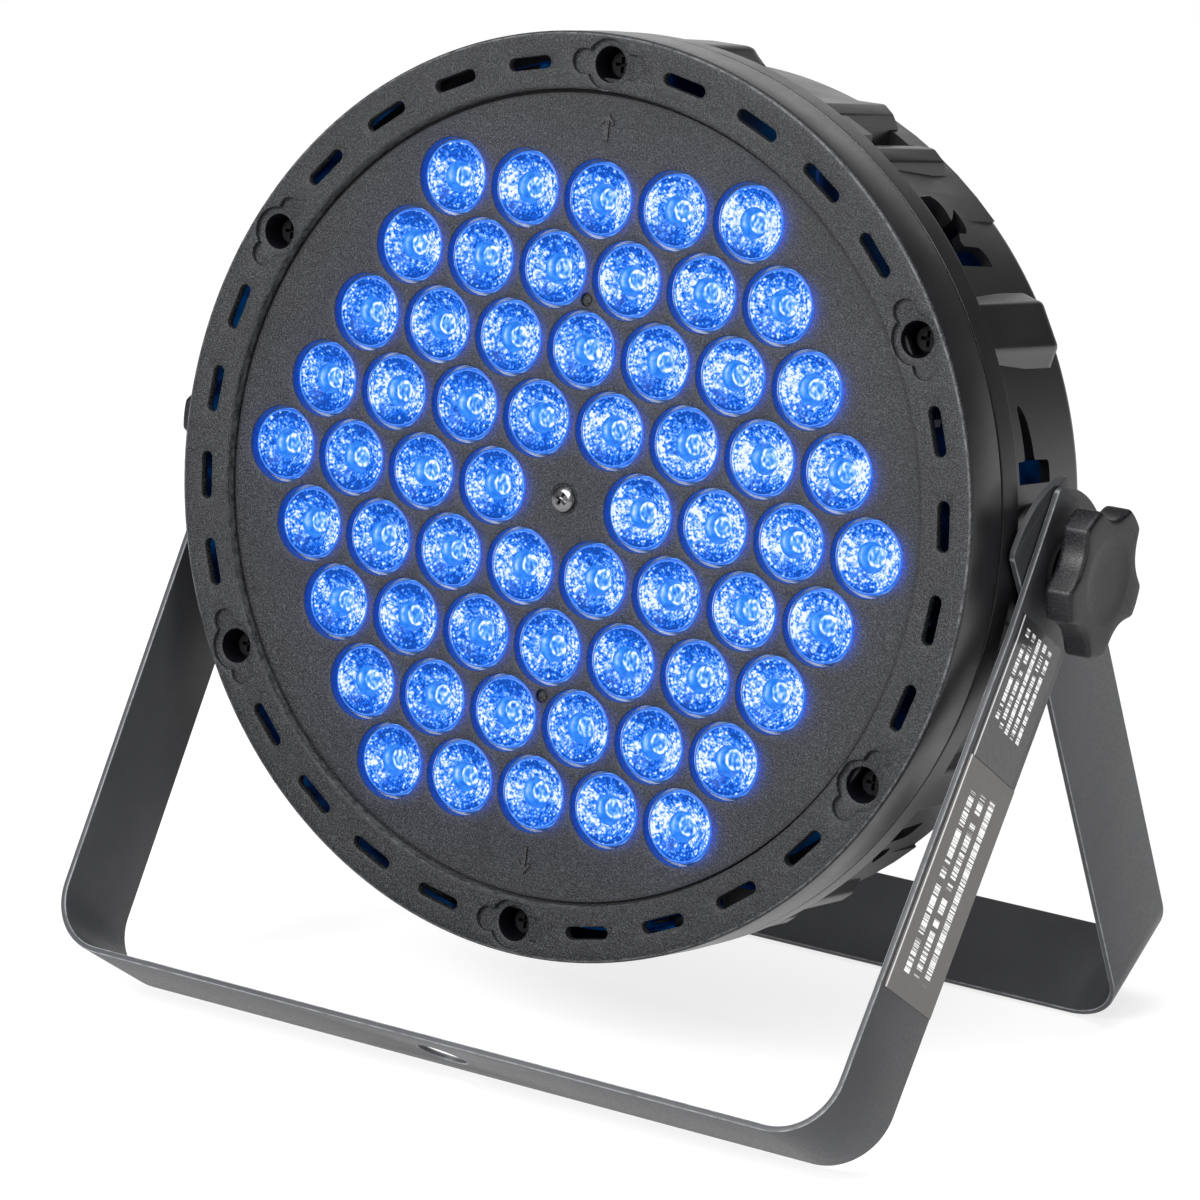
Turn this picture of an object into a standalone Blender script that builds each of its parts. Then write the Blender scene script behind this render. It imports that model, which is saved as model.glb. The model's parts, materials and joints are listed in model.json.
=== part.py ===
"""LED par can on a double yoke, built as separate pieces.

Working frame of the housing, in millimetres: the origin is on the pivot axis, X runs to the
right seen from the front, Y runs to the back (the beam leaves along -Y) and Z runs up.
The housing frame is then tilted about the pivot and set above the floor on its two yokes.
"""
import math

import bmesh
import bpy
from mathutils import Matrix, Vector

# ------------------------------------------------------------------ sizes
MM = 0.001

TILT_DEG = 7.8                 # the beam points up by this much

# lens plate and lenses
LENS_PITCH = 21.5
LENS_RINGS = 4                 # rings of lenses round the empty centre
PLATE_FRONT = -37.6
PLATE_BACK = -35.6
PLATE_RADIUS = 105.2
LENS_HOLE_RADIUS = 9.8
LENS_RADIUS = 9.1
LENS_FACE = -36.1
LENS_BASE_FRONT = -35.3
LENS_BASE_BACK = -33.3

# bezel
BEZEL_FRONT = -40.1
BEZEL_RING_BACK = -37.9
BEZEL_INNER_RADIUS = 101.0
BEZEL_RADIUS = 115.0
BEZEL_BACK_RADIUS = 115.4
BEZEL_WALL = 2.5
SEAM_Y = -25.1
SEAM_GAP = 0.5
SCREW_CIRCLE = 107.5           # radius the screw pockets and slots lie on
SCREW_ANGLES = [30.0 + 60.0 * step for step in range(6)]
SLOT_LENGTH = 12.2
SLOT_WIDTH = 3.1
POCKET_RADIUS = 4.45
POCKET_RIM_RADIUS = 6.1
POCKET_LOBE_RADIUS = 3.2
POCKET_LOBE_OFFSET = 6.9
POCKET_STEP = 1.0
POCKET_FLOOR = -30.0
POCKET_POINTS = 24
BOSS_RADIUS = 6.3

# rear housing
FLANGE_RADIUS = 115.3
FLANGE_BACK = -16.6
DRUM_FRONT_RADIUS = 111.9
DRUM_BACK_RADIUS = 109.4
DRUM_BACK_EDGE = 26.0
BACK_OUTER = 29.0
BACK_INNER = 26.5
WALL = 2.4
PIVOT_BOSS_RADIUS = 15.0
PIVOT_BOSS_FACE = 114.6
PIVOT_BOSS_INNER = 104.0

# yokes
STRAP_WIDTH = 30.0
STRAP_THICKNESS = 1.5
FRONT_LENGTH = 152.0           # pivot to the outer face of the bar
FRONT_HALF_BAR = 115.0
FRONT_HALF_PIVOT = 119.6
FRONT_LEAN_DEG = 33.0
FRONT_TOP = 20.0
REAR_LENGTH = 149.4
REAR_HALF_BAR = 113.1
REAR_HALF_PIVOT = 117.7
REAR_TOP = 22.0
STRAIGHT_TO = 22.0             # the arms stay parallel this far below the pivot
BEND_RADIUS = 16.5
END_ARC_RADIUS = 31.0
MOUNT_HOLE_RADIUS = 6.5

# pivot hardware, measured along X from the middle of the light
STUD_RADIUS = 3.8
PIVOT_HOLE_RADIUS = 4.2
STUD_SPAN = (98.0, 128.4)
NUT_SPAN = (99.4, 103.7)
FRICTION_WASHER_SPAN = (114.9, 115.9)
STEEL_WASHER_SPAN = (119.9, 121.1)
KNOB_HUB_START = 121.4
KNOB_LOBE_START = 124.5
KNOB_END = 132.0
KNOB_RADIUS = 19.0
KNOB_FLUTE_RADIUS = 11.0
KNOB_FLUTE_REACH = 26.0
KNOB_ROUNDING = 1.05
KNOB_POINTS = 12
KNOB_LOBES = 5

# rear panel layout (x, z) seen in the housing frame
FAN_CENTRE = (0.0, 48.0)
DISPLAY_CENTRE = (0.0, -1.0)
BUTTON_Z = -20.0
BUTTON_X = (-27.0, -9.0, 9.0, 27.0)
BUTTON_NAMES = ("button_menu", "button_down", "button_up", "button_enter")
DMX_IN_CENTRE = (-57.0, -49.0)
DMX_OUT_CENTRE = (-22.0, -57.0)
INLET_CENTRE = (42.0, -56.0)
FUSE_CENTRE = (70.0, -22.0)

SEGMENTS = 60

# ------------------------------------------------------------------ colours
MATERIALS = {
    "textured_black": ((0.030, 0.031, 0.034), 0.0, 0.55),
    "satin_black": ((0.022, 0.022, 0.024), 0.0, 0.38),
    "lens_clear": ((0.16, 0.36, 0.95), 0.0, 0.12),
    "board_white": ((0.80, 0.80, 0.78), 0.0, 0.45),
    "board_green": ((0.03, 0.20, 0.09), 0.0, 0.40),
    "aluminium": ((0.62, 0.63, 0.65), 1.0, 0.35),
    "graphite_paint": ((0.060, 0.062, 0.066), 0.3, 0.40),
    "knob_black": ((0.020, 0.020, 0.022), 0.0, 0.50),
    "zinc_steel": ((0.45, 0.45, 0.47), 1.0, 0.30),
    "dark_screw": ((0.10, 0.10, 0.11), 1.0, 0.35),
    "fibre": ((0.14, 0.10, 0.07), 0.0, 0.80),
    "socket_black": ((0.015, 0.015, 0.017), 0.0, 0.35),
    "display_tint": ((0.12, 0.02, 0.02), 0.0, 0.08),
    "copper_tape": ((0.75, 0.62, 0.12), 0.0, 0.45),
    "capacitor_sleeve": ((0.02, 0.03, 0.10), 0.0, 0.35),
    "label_dark": ((0.030, 0.030, 0.032), 0.0, 0.45),
    "label_brown": ((0.115, 0.100, 0.088), 0.0, 0.45),
    "wire_blue": ((0.02, 0.09, 0.45), 0.0, 0.40),
    "wire_black": ((0.02, 0.02, 0.02), 0.0, 0.40),
    "button_grey": ((0.22, 0.22, 0.23), 0.0, 0.45),
}


def material(slot):
    """Return the material of a slot, made on first use."""
    if slot in bpy.data.materials:
        return bpy.data.materials[slot]
    colour, metallic, roughness = MATERIALS[slot]
    made = bpy.data.materials.new(slot)
    made.use_nodes = True
    shader = made.node_tree.nodes["Principled BSDF"]
    shader.inputs["Base Color"].default_value = (*colour, 1.0)
    shader.inputs["Metallic"].default_value = metallic
    shader.inputs["Roughness"].default_value = roughness
    made.diffuse_color = (*colour, 1.0)
    return made


# ------------------------------------------------------------------ solids
def from_rings(rings, closed=False):
    """Skin a row of equal point rings. Open rows get a flat face at each end."""
    solid = bmesh.new()
    rows = [[solid.verts.new(point) for point in ring] for ring in rings]
    count = len(rows[0])
    pairs = list(zip(rows, rows[1:]))
    if closed:
        pairs.append((rows[-1], rows[0]))
    for near, far in pairs:
        for index in range(count):
            after = (index + 1) % count
            solid.faces.new((near[index], near[after], far[after], far[index]))
    if not closed:
        solid.faces.new(rows[0])
        solid.faces.new(rows[-1])
    bmesh.ops.recalc_face_normals(solid, faces=solid.faces)
    return solid


def lathe(profile, segments=SEGMENTS, centre=(0.0, 0.0), closed=False, start_deg=0.0):
    """Turn a profile of (radius, y) round an axis along Y through centre (x, z)."""
    rings = []
    for radius, y in profile:
        ring = []
        for step in range(segments):
            angle = math.radians(start_deg) + 2.0 * math.pi * step / segments
            x = centre[0] + radius * math.cos(angle)
            z = centre[1] + radius * math.sin(angle)
            ring.append((x, y, z))
        rings.append(ring)
    return from_rings(rings, closed)


def lathe_x(profile, segments, start_deg=0.0, closed=False):
    """Turn a profile of (radius, x) round the X axis."""
    rings = []
    for radius, x in profile:
        ring = []
        for step in range(segments):
            angle = math.radians(start_deg) + 2.0 * math.pi * step / segments
            ring.append((x, radius * math.sin(angle), radius * math.cos(angle)))
        rings.append(ring)
    return from_rings(rings, closed)


def prism(outline, y0, y1):
    """Extrude an outline of (x, z) points along Y."""
    near = [(x, y0, z) for x, z in outline]
    far = [(x, y1, z) for x, z in outline]
    return from_rings([near, far])


def box(x0, x1, y0, y1, z0, z1):
    """A plain block given by its limits."""
    return prism([(x0, z0), (x1, z0), (x1, z1), (x0, z1)], y0, y1)


def polar(radius, angle_deg):
    """Point (x, z) at a radius and an angle from +X towards +Z."""
    angle = math.radians(angle_deg)
    return (radius * math.cos(angle), radius * math.sin(angle))


def wall_prism(outline, inner, outer):
    """A cutter through the drum wall. The outline is (angle in degrees, y)."""
    rings = []
    for radius in (inner, outer):
        ring = []
        for angle_deg, y in outline:
            x, z = polar(radius, angle_deg)
            ring.append((x, y, z))
        rings.append(ring)
    solid = from_rings(rings)
    bmesh.ops.triangulate(solid, faces=solid.faces)
    bmesh.ops.recalc_face_normals(solid, faces=solid.faces)
    return solid


def turned(solid, angle_deg):
    """Rotate a solid about the Y axis so its +X side goes to an angle towards +Z."""
    matrix = Matrix.Rotation(-math.radians(angle_deg), 4, "Y")
    bmesh.ops.transform(solid, matrix=matrix, verts=solid.verts)
    return solid


def moved(solid, offset):
    """Shift a solid."""
    bmesh.ops.translate(solid, vec=Vector(offset), verts=solid.verts)
    return solid


def mirrored(solid, axis):
    """Mirror a solid across X = 0 or Z = 0."""
    scale = Vector((-1.0, 1.0, 1.0)) if axis == "X" else Vector((1.0, 1.0, -1.0))
    bmesh.ops.scale(solid, vec=scale, verts=solid.verts)
    bmesh.ops.reverse_faces(solid, faces=solid.faces)
    return solid


# ------------------------------------------------------------------ objects
def temporary(solid, name="tool"):
    """Put a solid in the scene, in metres, without material or parent."""
    mesh = bpy.data.meshes.new(name)
    bmesh.ops.scale(solid, vec=Vector((MM, MM, MM)), verts=solid.verts)
    solid.to_mesh(mesh)
    solid.free()
    made = bpy.data.objects.new(name, mesh)
    bpy.context.scene.collection.objects.link(made)
    return made


def joined(solids):
    """Put several separate solids into one."""
    whole = bmesh.new()
    for solid in solids:
        piece = bpy.data.meshes.new("piece")
        solid.to_mesh(piece)
        solid.free()
        whole.from_mesh(piece)
        bpy.data.meshes.remove(piece)
    return whole


def combine(target, solids, operation):
    """Cut the solids from the target, or add them to it."""
    tool = temporary(joined(solids))
    tool.parent = target.parent
    change = target.modifiers.new("combine", "BOOLEAN")
    change.operation = operation
    change.solver = "EXACT"
    change.object = tool
    graph = bpy.context.evaluated_depsgraph_get()
    result = bpy.data.meshes.new_from_object(target.evaluated_get(graph))
    target.modifiers.clear()
    target.data = result
    bpy.data.objects.remove(tool)


def finish(made, slot, parent, origin=(0.0, 0.0, 0.0), smooth=True):
    """Give an object its material, its parent and its own origin, in millimetres."""
    made.data.materials.clear()
    made.data.materials.append(material(slot))
    offset = Vector(origin) * MM
    made.data.transform(Matrix.Translation(-offset))
    made.parent = parent
    made.location = offset
    if smooth:
        made.data.shade_smooth()
        made.data.set_sharp_from_angle(angle=math.radians(32.0))
    return made


def part(name, solid, slot, parent, origin=(0.0, 0.0, 0.0), cuts=(), adds=(), smooth=True):
    """Make one named sub-part from a solid, with solids added and then cut away."""
    made = temporary(solid, name)
    made.name = name
    if adds:
        combine(made, list(adds), "UNION")
    if cuts:
        combine(made, list(cuts), "DIFFERENCE")
    return finish(made, slot, parent, origin, smooth)


def frame(name, parent=None, location=(0.0, 0.0, 0.0), angle_deg=0.0):
    """An empty that carries pieces and turns about the pivot axis."""
    made = bpy.data.objects.new(name, None)
    made.empty_display_size = 0.02
    bpy.context.scene.collection.objects.link(made)
    made.parent = parent
    made.location = Vector(location) * MM
    made.rotation_euler = (math.radians(angle_deg), 0.0, 0.0)
    return made


def tube(path, radius, sides=6):
    """A round wire along a path of points."""
    rings = []
    for index, point in enumerate(path):
        before = Vector(path[max(index - 1, 0)])
        after = Vector(path[min(index + 1, len(path) - 1)])
        along = (after - before).normalized()
        side = along.cross(Vector((0.0, 1.0, 0.0))).normalized()
        up = side.cross(along).normalized()
        ring = []
        for step in range(sides):
            angle = 2.0 * math.pi * step / sides
            ring.append(Vector(point) + radius * (math.cos(angle) * side + math.sin(angle) * up))
        rings.append(ring)
    return from_rings(rings)


# ------------------------------------------------------------------ front
def lens_centres():
    """Centres (x, z) of the hexagonal field of lenses, without the middle one."""
    centres = []
    row_step = LENS_PITCH * math.sqrt(3.0) / 2.0
    for row in range(-LENS_RINGS, LENS_RINGS + 1):
        count = 2 * LENS_RINGS + 1 - abs(row)
        for column in range(count):
            x = (column - (count - 1) / 2.0) * LENS_PITCH
            z = row * row_step
            if abs(x) > 0.1 or abs(z) > 0.1:
                centres.append((x, z))
    return centres


def rounded_slot(length, width, y0, y1, steps=2):
    """A slot with half-round ends, long in Z, centred on the origin."""
    radius = width / 2.0
    reach = length / 2.0 - radius
    outline = []
    for end, first in ((1.0, 0.0), (-1.0, 180.0)):
        for step in range(steps + 1):
            x, z = polar(radius, first + 180.0 * step / steps)
            outline.append((x, z + end * reach))
    return prism(outline, y0, y1)


def make_bezel(parent):
    """Ring with a side wall, screw pockets and slots."""
    back = SEAM_Y - SEAM_GAP / 2.0
    profile = [
        (BEZEL_INNER_RADIUS, BEZEL_RING_BACK),
        (BEZEL_INNER_RADIUS, BEZEL_FRONT + 0.5),
        (BEZEL_INNER_RADIUS + 0.6, BEZEL_FRONT),
        (BEZEL_RADIUS - 1.1, BEZEL_FRONT),
        (BEZEL_RADIUS - 0.3, BEZEL_FRONT + 0.35),
        (BEZEL_RADIUS, BEZEL_FRONT + 1.2),
        (BEZEL_BACK_RADIUS, back),
        (BEZEL_BACK_RADIUS - BEZEL_WALL, back),
        (BEZEL_RADIUS - BEZEL_WALL, BEZEL_RING_BACK),
    ]
    bosses = []
    cuts = []
    for angle in SCREW_ANGLES:
        centre = polar(SCREW_CIRCLE, angle)
        bosses.append(lathe([(BOSS_RADIUS, -38.6), (BOSS_RADIUS, back)], 14, centre))
        step = BEZEL_FRONT + POCKET_STEP
        front = BEZEL_FRONT - 1.0
        cuts.append(lathe([(POCKET_RADIUS, front - 1.0), (POCKET_RADIUS, POCKET_FLOOR)], 14, centre))
        cuts.append(lathe([(1.9, POCKET_FLOOR - 1.0), (1.9, back + 1.0)], 8, centre))
        lobes = []
        for point in range(POCKET_POINTS):
            turn = 360.0 * (point + 0.5) / POCKET_POINTS
            out, along = polar(1.0, turn)
            reach = pocket_reach(turn)
            lobes.append((SCREW_CIRCLE + out * reach, along * reach))
        cuts.append(turned(prism(lobes, front, step), angle))
        for offset in (-24.0, -12.0, 12.0, 24.0):
            slot = rounded_slot(SLOT_LENGTH, SLOT_WIDTH, BEZEL_FRONT - 2.0, BEZEL_RING_BACK + 2.0)
            cuts.append(turned(moved(slot, (SCREW_CIRCLE, 0.0, 0.0)), angle + offset))
    bezel = part("front_bezel", lathe(profile, closed=True), "textured_black", parent, adds=bosses)
    for group in (cuts[0::7], cuts[1::7], cuts[2::7], cuts[3::7] + cuts[4::7] + cuts[5::7] + cuts[6::7]):
        combine(bezel, group, "DIFFERENCE")
    return finish(bezel, "textured_black", parent)


def pocket_reach(turn_deg):
    """Distance from the pocket centre to its rim: a circle with one lobe to each side."""
    along = abs(math.sin(math.radians(turn_deg)))
    across = abs(math.cos(math.radians(turn_deg)))
    reach = POCKET_RIM_RADIUS
    gap = POCKET_LOBE_RADIUS ** 2 - (POCKET_LOBE_OFFSET * across) ** 2
    if gap > 0.0:
        reach = max(reach, POCKET_LOBE_OFFSET * along + math.sqrt(gap))
    return reach


def make_lens_plate(parent):
    """Round plate with a hole for every lens and one for the centre screw."""
    profile = [(PLATE_RADIUS, PLATE_BACK), (PLATE_RADIUS, PLATE_FRONT)]
    holes = []
    for centre in lens_centres():
        holes.append(lathe([
            (LENS_HOLE_RADIUS, PLATE_BACK + 1.0),
            (LENS_HOLE_RADIUS, PLATE_FRONT - 1.0),
        ], 8, centre, start_deg=22.5))
    holes.append(lathe([(1.9, PLATE_BACK + 1.0), (1.9, PLATE_FRONT - 1.0)], 8))
    for angle in SCREW_ANGLES:
        centre = polar(SCREW_CIRCLE, angle)
        radius = BOSS_RADIUS + 0.4
        holes.append(lathe([(radius, PLATE_BACK + 1.0), (radius, PLATE_FRONT - 1.0)], 12, centre))
    return part("lens_plate", lathe(profile), "textured_black", parent, cuts=holes)


def make_lens_array(parent):
    """One clear moulding: a disc with a raised lens at every position."""
    lenses = []
    for centre in lens_centres():
        lenses.append(lathe([
            (LENS_RADIUS, LENS_BASE_FRONT + 0.4),
            (LENS_RADIUS, LENS_FACE),
        ], 8, centre, start_deg=22.5))
    disc = lathe([(99.5, LENS_BASE_FRONT), (99.5, LENS_BASE_BACK)], 36)
    hole = [lathe([(1.9, LENS_BASE_FRONT - 1.0), (1.9, LENS_BASE_BACK + 1.0)], 8)]
    return part("lens_array", disc, "lens_clear", parent, adds=lenses, cuts=hole)


def make_light_engine(parent):
    """LED board with its chips, and the finned aluminium plate behind it."""
    board_front = -31.2
    board_back = -29.6
    chips = []
    for x, z in lens_centres():
        chips.append(box(x - 1.75, x + 1.75, board_front - 0.7, board_front + 0.3, z - 1.75, z + 1.75))
    board = lathe([(99.0, board_front), (99.0, board_back)], 36)
    hole = [lathe([(1.9, board_front - 2.0), (1.9, board_back + 2.0)], 8)]
    part("led_board", board, "board_white", parent, adds=chips, cuts=hole, smooth=False)

    plate = lathe([(98.0, -29.3), (98.0, -26.0)], 36)
    fins = []
    for step in range(-5, 6):
        z = step * 16.0
        reach = math.sqrt(96.0 ** 2 - z ** 2) - 2.0
        fins.append(box(-reach, reach, -26.4, -13.0, z - 0.9, z + 0.9))
    part("heat_sink", plate, "aluminium", parent, adds=fins, smooth=False,
         cuts=[lathe([(1.9, -31.0), (1.9, -18.0)], 8)])


def screw(name, centre, head_front, head_thick, head_radius, shank_end, slot, parent):
    """Cross-head screw along Y."""
    body = lathe([
        (head_radius - 0.5, head_front),
        (head_radius, head_front + 0.5),
        (head_radius, head_front + head_thick),
        (1.5, head_front + head_thick + 0.01),
        (1.5, shank_end),
    ], 10, centre)
    depth = head_front + 0.6 * head_thick
    x, z = centre
    long_arm = head_radius * 0.55
    cross = [
        box(x - long_arm, x + long_arm, head_front - 1.0, depth, z - 0.45, z + 0.45),
        box(x - 0.45, x + 0.45, head_front - 1.0, depth - 0.05, z - long_arm, z + long_arm),
    ]
    made = part(name, body, slot, parent)
    combine(made, cross[:1], "DIFFERENCE")
    combine(made, cross[1:], "DIFFERENCE")
    return finish(made, slot, parent)


# ------------------------------------------------------------------ housing
def pad_solid(angle):
    """Raised pad over a screw tower, with a sloped rear end."""
    base, top = 108.5, 114.2
    narrow, wide = 2.85, 5.0
    section = [(-wide, base), (-wide, 111.0), (-narrow, top), (narrow, top), (wide, 111.0), (wide, base)]
    rings = []
    for y, lower in ((-18.0, 0.0), (16.5, 0.0), (21.0, 3.4)):
        ring = []
        for turn, radius in section:
            level = max(radius - lower, base) if radius > base else base - 0.01 * lower
            x, z = polar(level, angle + turn)
            ring.append((x, y, z))
        rings.append(ring)
    return from_rings(rings)


def ribs_and_recesses():
    """The stepped ribs high on each side, a recess beside the first and the lining behind it."""
    first_rib = [(36.0, 101.6), (36.0, 104.3), (49.0, 104.3), (49.0, 96.6)]
    second_rib = [(52.5, 91.6), (52.5, 95.0), (63.2, 95.0), (64.6, 90.4), (64.6, 86.6)]
    lining = [polar(110.2, angle) for angle in (51.0, 57.0, 63.0, 66.4)]
    lining += [polar(101.3, angle) for angle in (66.4, 56.7, 51.0)]
    recess = [(49.4, 108.0), (49.4, 94.2), (54.5, 91.8), (57.4, 95.4), (57.4, 104.0)]
    ribs, linings, recesses = [], [], []
    for x_sign in (1.0, -1.0):
        for z_sign in (1.0, -1.0):
            for outline in (first_rib, second_rib):
                rings = []
                for y, drop in ((-17.4, 0.0), (16.7, 0.0), (19.9, 3.1)):
                    rings.append([(x_sign * x, y, z_sign * (z - drop)) for x, z in outline])
                ribs.append(from_rings(rings))
            linings.append(prism([(x_sign * x, z_sign * z) for x, z in lining], -9.0, 25.2))
            recesses.append(prism([(x_sign * x, z_sign * z) for x, z in recess], -8.0, 16.0))
    return ribs, linings, recesses


def vent_cutters():
    """T-shaped, forked and slit vents, the same in all four quarters."""
    tee = [(10.4, -8.6), (10.4, 9.4), (13.0, 9.4), (13.3, 9.0), (13.3, 1.1), (16.0, 0.4), (18.0, -0.6),
           (19.2, -1.8), (20.3, -4.0), (19.8, -4.6), (18.0, -3.9), (16.0, -3.3), (13.3, -2.9), (13.2, -8.6)]
    fork = [(38.95, -8.1), (38.95, 9.4), (40.6, 9.2), (41.8, 7.0), (41.9, -0.8), (42.8, -1.2), (43.9, 0.6),
            (43.9, 5.0), (45.7, 7.8), (47.9, 7.4), (46.5, 3.4), (45.9, 1.6), (47.6, 2.5), (49.1, 1.3),
            (49.9, -0.5), (49.6, -7.0), (44.0, -7.6)]
    slit = [(77.0, -7.0), (77.0, 3.0), (78.6, 3.0), (78.6, -7.0)]
    groups = []
    for outline in (tee, fork, slit):
        cutters = []
        for x_sign in (1, -1):
            for z_sign in (1, -1):
                solid = wall_prism(outline, 98.0, 119.0)
                if x_sign < 0:
                    solid = mirrored(solid, "X")
                if z_sign < 0:
                    solid = mirrored(solid, "Z")
                cutters.append(solid)
        groups.append(cutters)
    return groups


def panel_cutters():
    """Openings of the rear face."""
    cutters = []
    for step in range(-4, 5):
        x = step * 6.2
        reach = math.sqrt(27.0 ** 2 - x ** 2)
        cutters.append(box(x - 1.7, x + 1.7, BACK_INNER - 1.0, BACK_OUTER + 1.0,
                           FAN_CENTRE[1] - reach, FAN_CENTRE[1] + reach))
    for x in BUTTON_X:
        cutters.append(lathe([(3.9, BACK_INNER - 1.0), (3.9, BACK_OUTER + 1.0)], 12, (x, BUTTON_Z)))
    x, z = DISPLAY_CENTRE
    cutters.append(box(x - 20.3, x + 20.3, BACK_INNER - 1.0, BACK_OUTER + 1.0, z - 8.3, z + 8.3))
    for centre in (DMX_IN_CENTRE, DMX_OUT_CENTRE):
        cutters.append(lathe([(11.5, BACK_INNER - 1.0), (11.5, BACK_OUTER + 1.0)], 18, centre))
    x, z = INLET_CENTRE
    cutters.append(box(x - 14.3, x + 14.3, BACK_INNER - 1.0, BACK_OUTER + 1.0, z - 10.8, z + 10.8))
    cutters.append(lathe([(6.8, BACK_INNER - 1.0), (6.8, BACK_OUTER + 1.0)], 16, FUSE_CENTRE))
    return cutters


def post(x, z, front):
    """Board post standing on the inside of the rear face."""
    return lathe([(2.6, BACK_INNER + 1.0), (2.6, front)], 8, (x, z))


POWER_BOARD = (-80.0, -34.0, -12.0, 48.0)
DRIVER_BOARD = (34.0, 80.0, -4.0, 46.0)
CONTROL_BOARD = (-34.0, 34.0, -29.0, 9.0)


def corner_posts(limits, inset, front):
    """Four posts near the corners of a board."""
    x0, x1, z0, z1 = limits
    corners = [(x, z) for x in (x0 + inset, x1 - inset) for z in (z0 + inset, z1 - inset)]
    return [post(x, z, front) for x, z in corners]


def make_housing(parent):
    """Rear drum: flange, tapered wall, rear face, pads, ribs, vents, towers and pivot bosses."""
    front = SEAM_Y + SEAM_GAP / 2.0
    inner_front = DRUM_FRONT_RADIUS - WALL
    inner_back = DRUM_BACK_RADIUS - WALL
    profile = [
        (105.0, BACK_INNER),
        (inner_back, BACK_INNER - 2.5),
        (inner_front, FLANGE_BACK - 2.6),
        (FLANGE_RADIUS - WALL, FLANGE_BACK - 2.6),
        (FLANGE_RADIUS - WALL, front),
        (FLANGE_RADIUS, front),
        (FLANGE_RADIUS, FLANGE_BACK),
        (DRUM_FRONT_RADIUS, FLANGE_BACK),
        (DRUM_BACK_RADIUS, DRUM_BACK_EDGE),
        (DRUM_BACK_RADIUS - 1.1, DRUM_BACK_EDGE + 2.1),
        (DRUM_BACK_RADIUS - 3.4, BACK_OUTER),
    ]
    shell = part("rear_housing", lathe(profile), "satin_black", parent)
    ribs, linings, recesses = ribs_and_recesses()
    towers = [lathe([(4.8, front + 0.1), (4.8, 17.0)], 12, polar(SCREW_CIRCLE, angle))
              for angle in SCREW_ANGLES]
    pads = [pad_solid(angle) for angle in SCREW_ANGLES]
    bosses = []
    for sign in (1.0, -1.0):
        bosses.append(lathe_x([(PIVOT_BOSS_RADIUS, sign * PIVOT_BOSS_INNER),
                               (PIVOT_BOSS_RADIUS, sign * PIVOT_BOSS_FACE)], 24))
    posts = corner_posts(POWER_BOARD, 4.0, -5.7) + corner_posts(DRIVER_BOARD, 4.0, -5.7)
    posts += corner_posts(CONTROL_BOARD, 3.0, 20.3)
    for group in (linings, towers, pads, bosses, ribs, posts):
        combine(shell, group, "UNION")
    combine(shell, recesses, "DIFFERENCE")
    pilot = [lathe([(1.9, front - 1.0), (1.9, -8.0)], 8, polar(SCREW_CIRCLE, angle))
             for angle in SCREW_ANGLES]
    pivots = []
    for sign in (1.0, -1.0):
        pivots.append(lathe_x([(PIVOT_HOLE_RADIUS, sign * 100.0), (PIVOT_HOLE_RADIUS, sign * 118.0)], 16))
    combine(shell, pilot + pivots, "DIFFERENCE")
    for group in vent_cutters():
        combine(shell, group, "DIFFERENCE")
    combine(shell, panel_cutters(), "DIFFERENCE")
    return finish(shell, "satin_black", parent)


# ------------------------------------------------------------------ yokes
def strap_path(half_pivot, half_bar, length, top, inset):
    """Points (x, z) of the strap's outer face, moved inwards by inset, from the right end round."""
    corner = Vector((half_bar, -length))
    knee = Vector((half_pivot, -STRAIGHT_TO))
    up = (knee - corner).normalized()
    across = Vector((-1.0, 0.0))
    opening = up.angle(across)
    back_off = BEND_RADIUS / math.tan(opening / 2.0)
    centre = corner + (up + across).normalized() * (BEND_RADIUS / math.sin(opening / 2.0))
    first = math.atan2(*reversed((corner + up * back_off - centre)[:]))
    last = math.atan2(*reversed((corner + across * back_off - centre)[:]))
    radius = BEND_RADIUS - inset
    side = [(half_pivot - inset, top), (half_pivot - inset, -STRAIGHT_TO + 0.02 * inset)]
    bends = 6
    for step in range(bends + 1):
        angle = first + (last - first) * step / bends
        side.append((centre.x + radius * math.cos(angle), centre.y + radius * math.sin(angle)))
    return side + [(-x, z) for x, z in reversed(side)]


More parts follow.
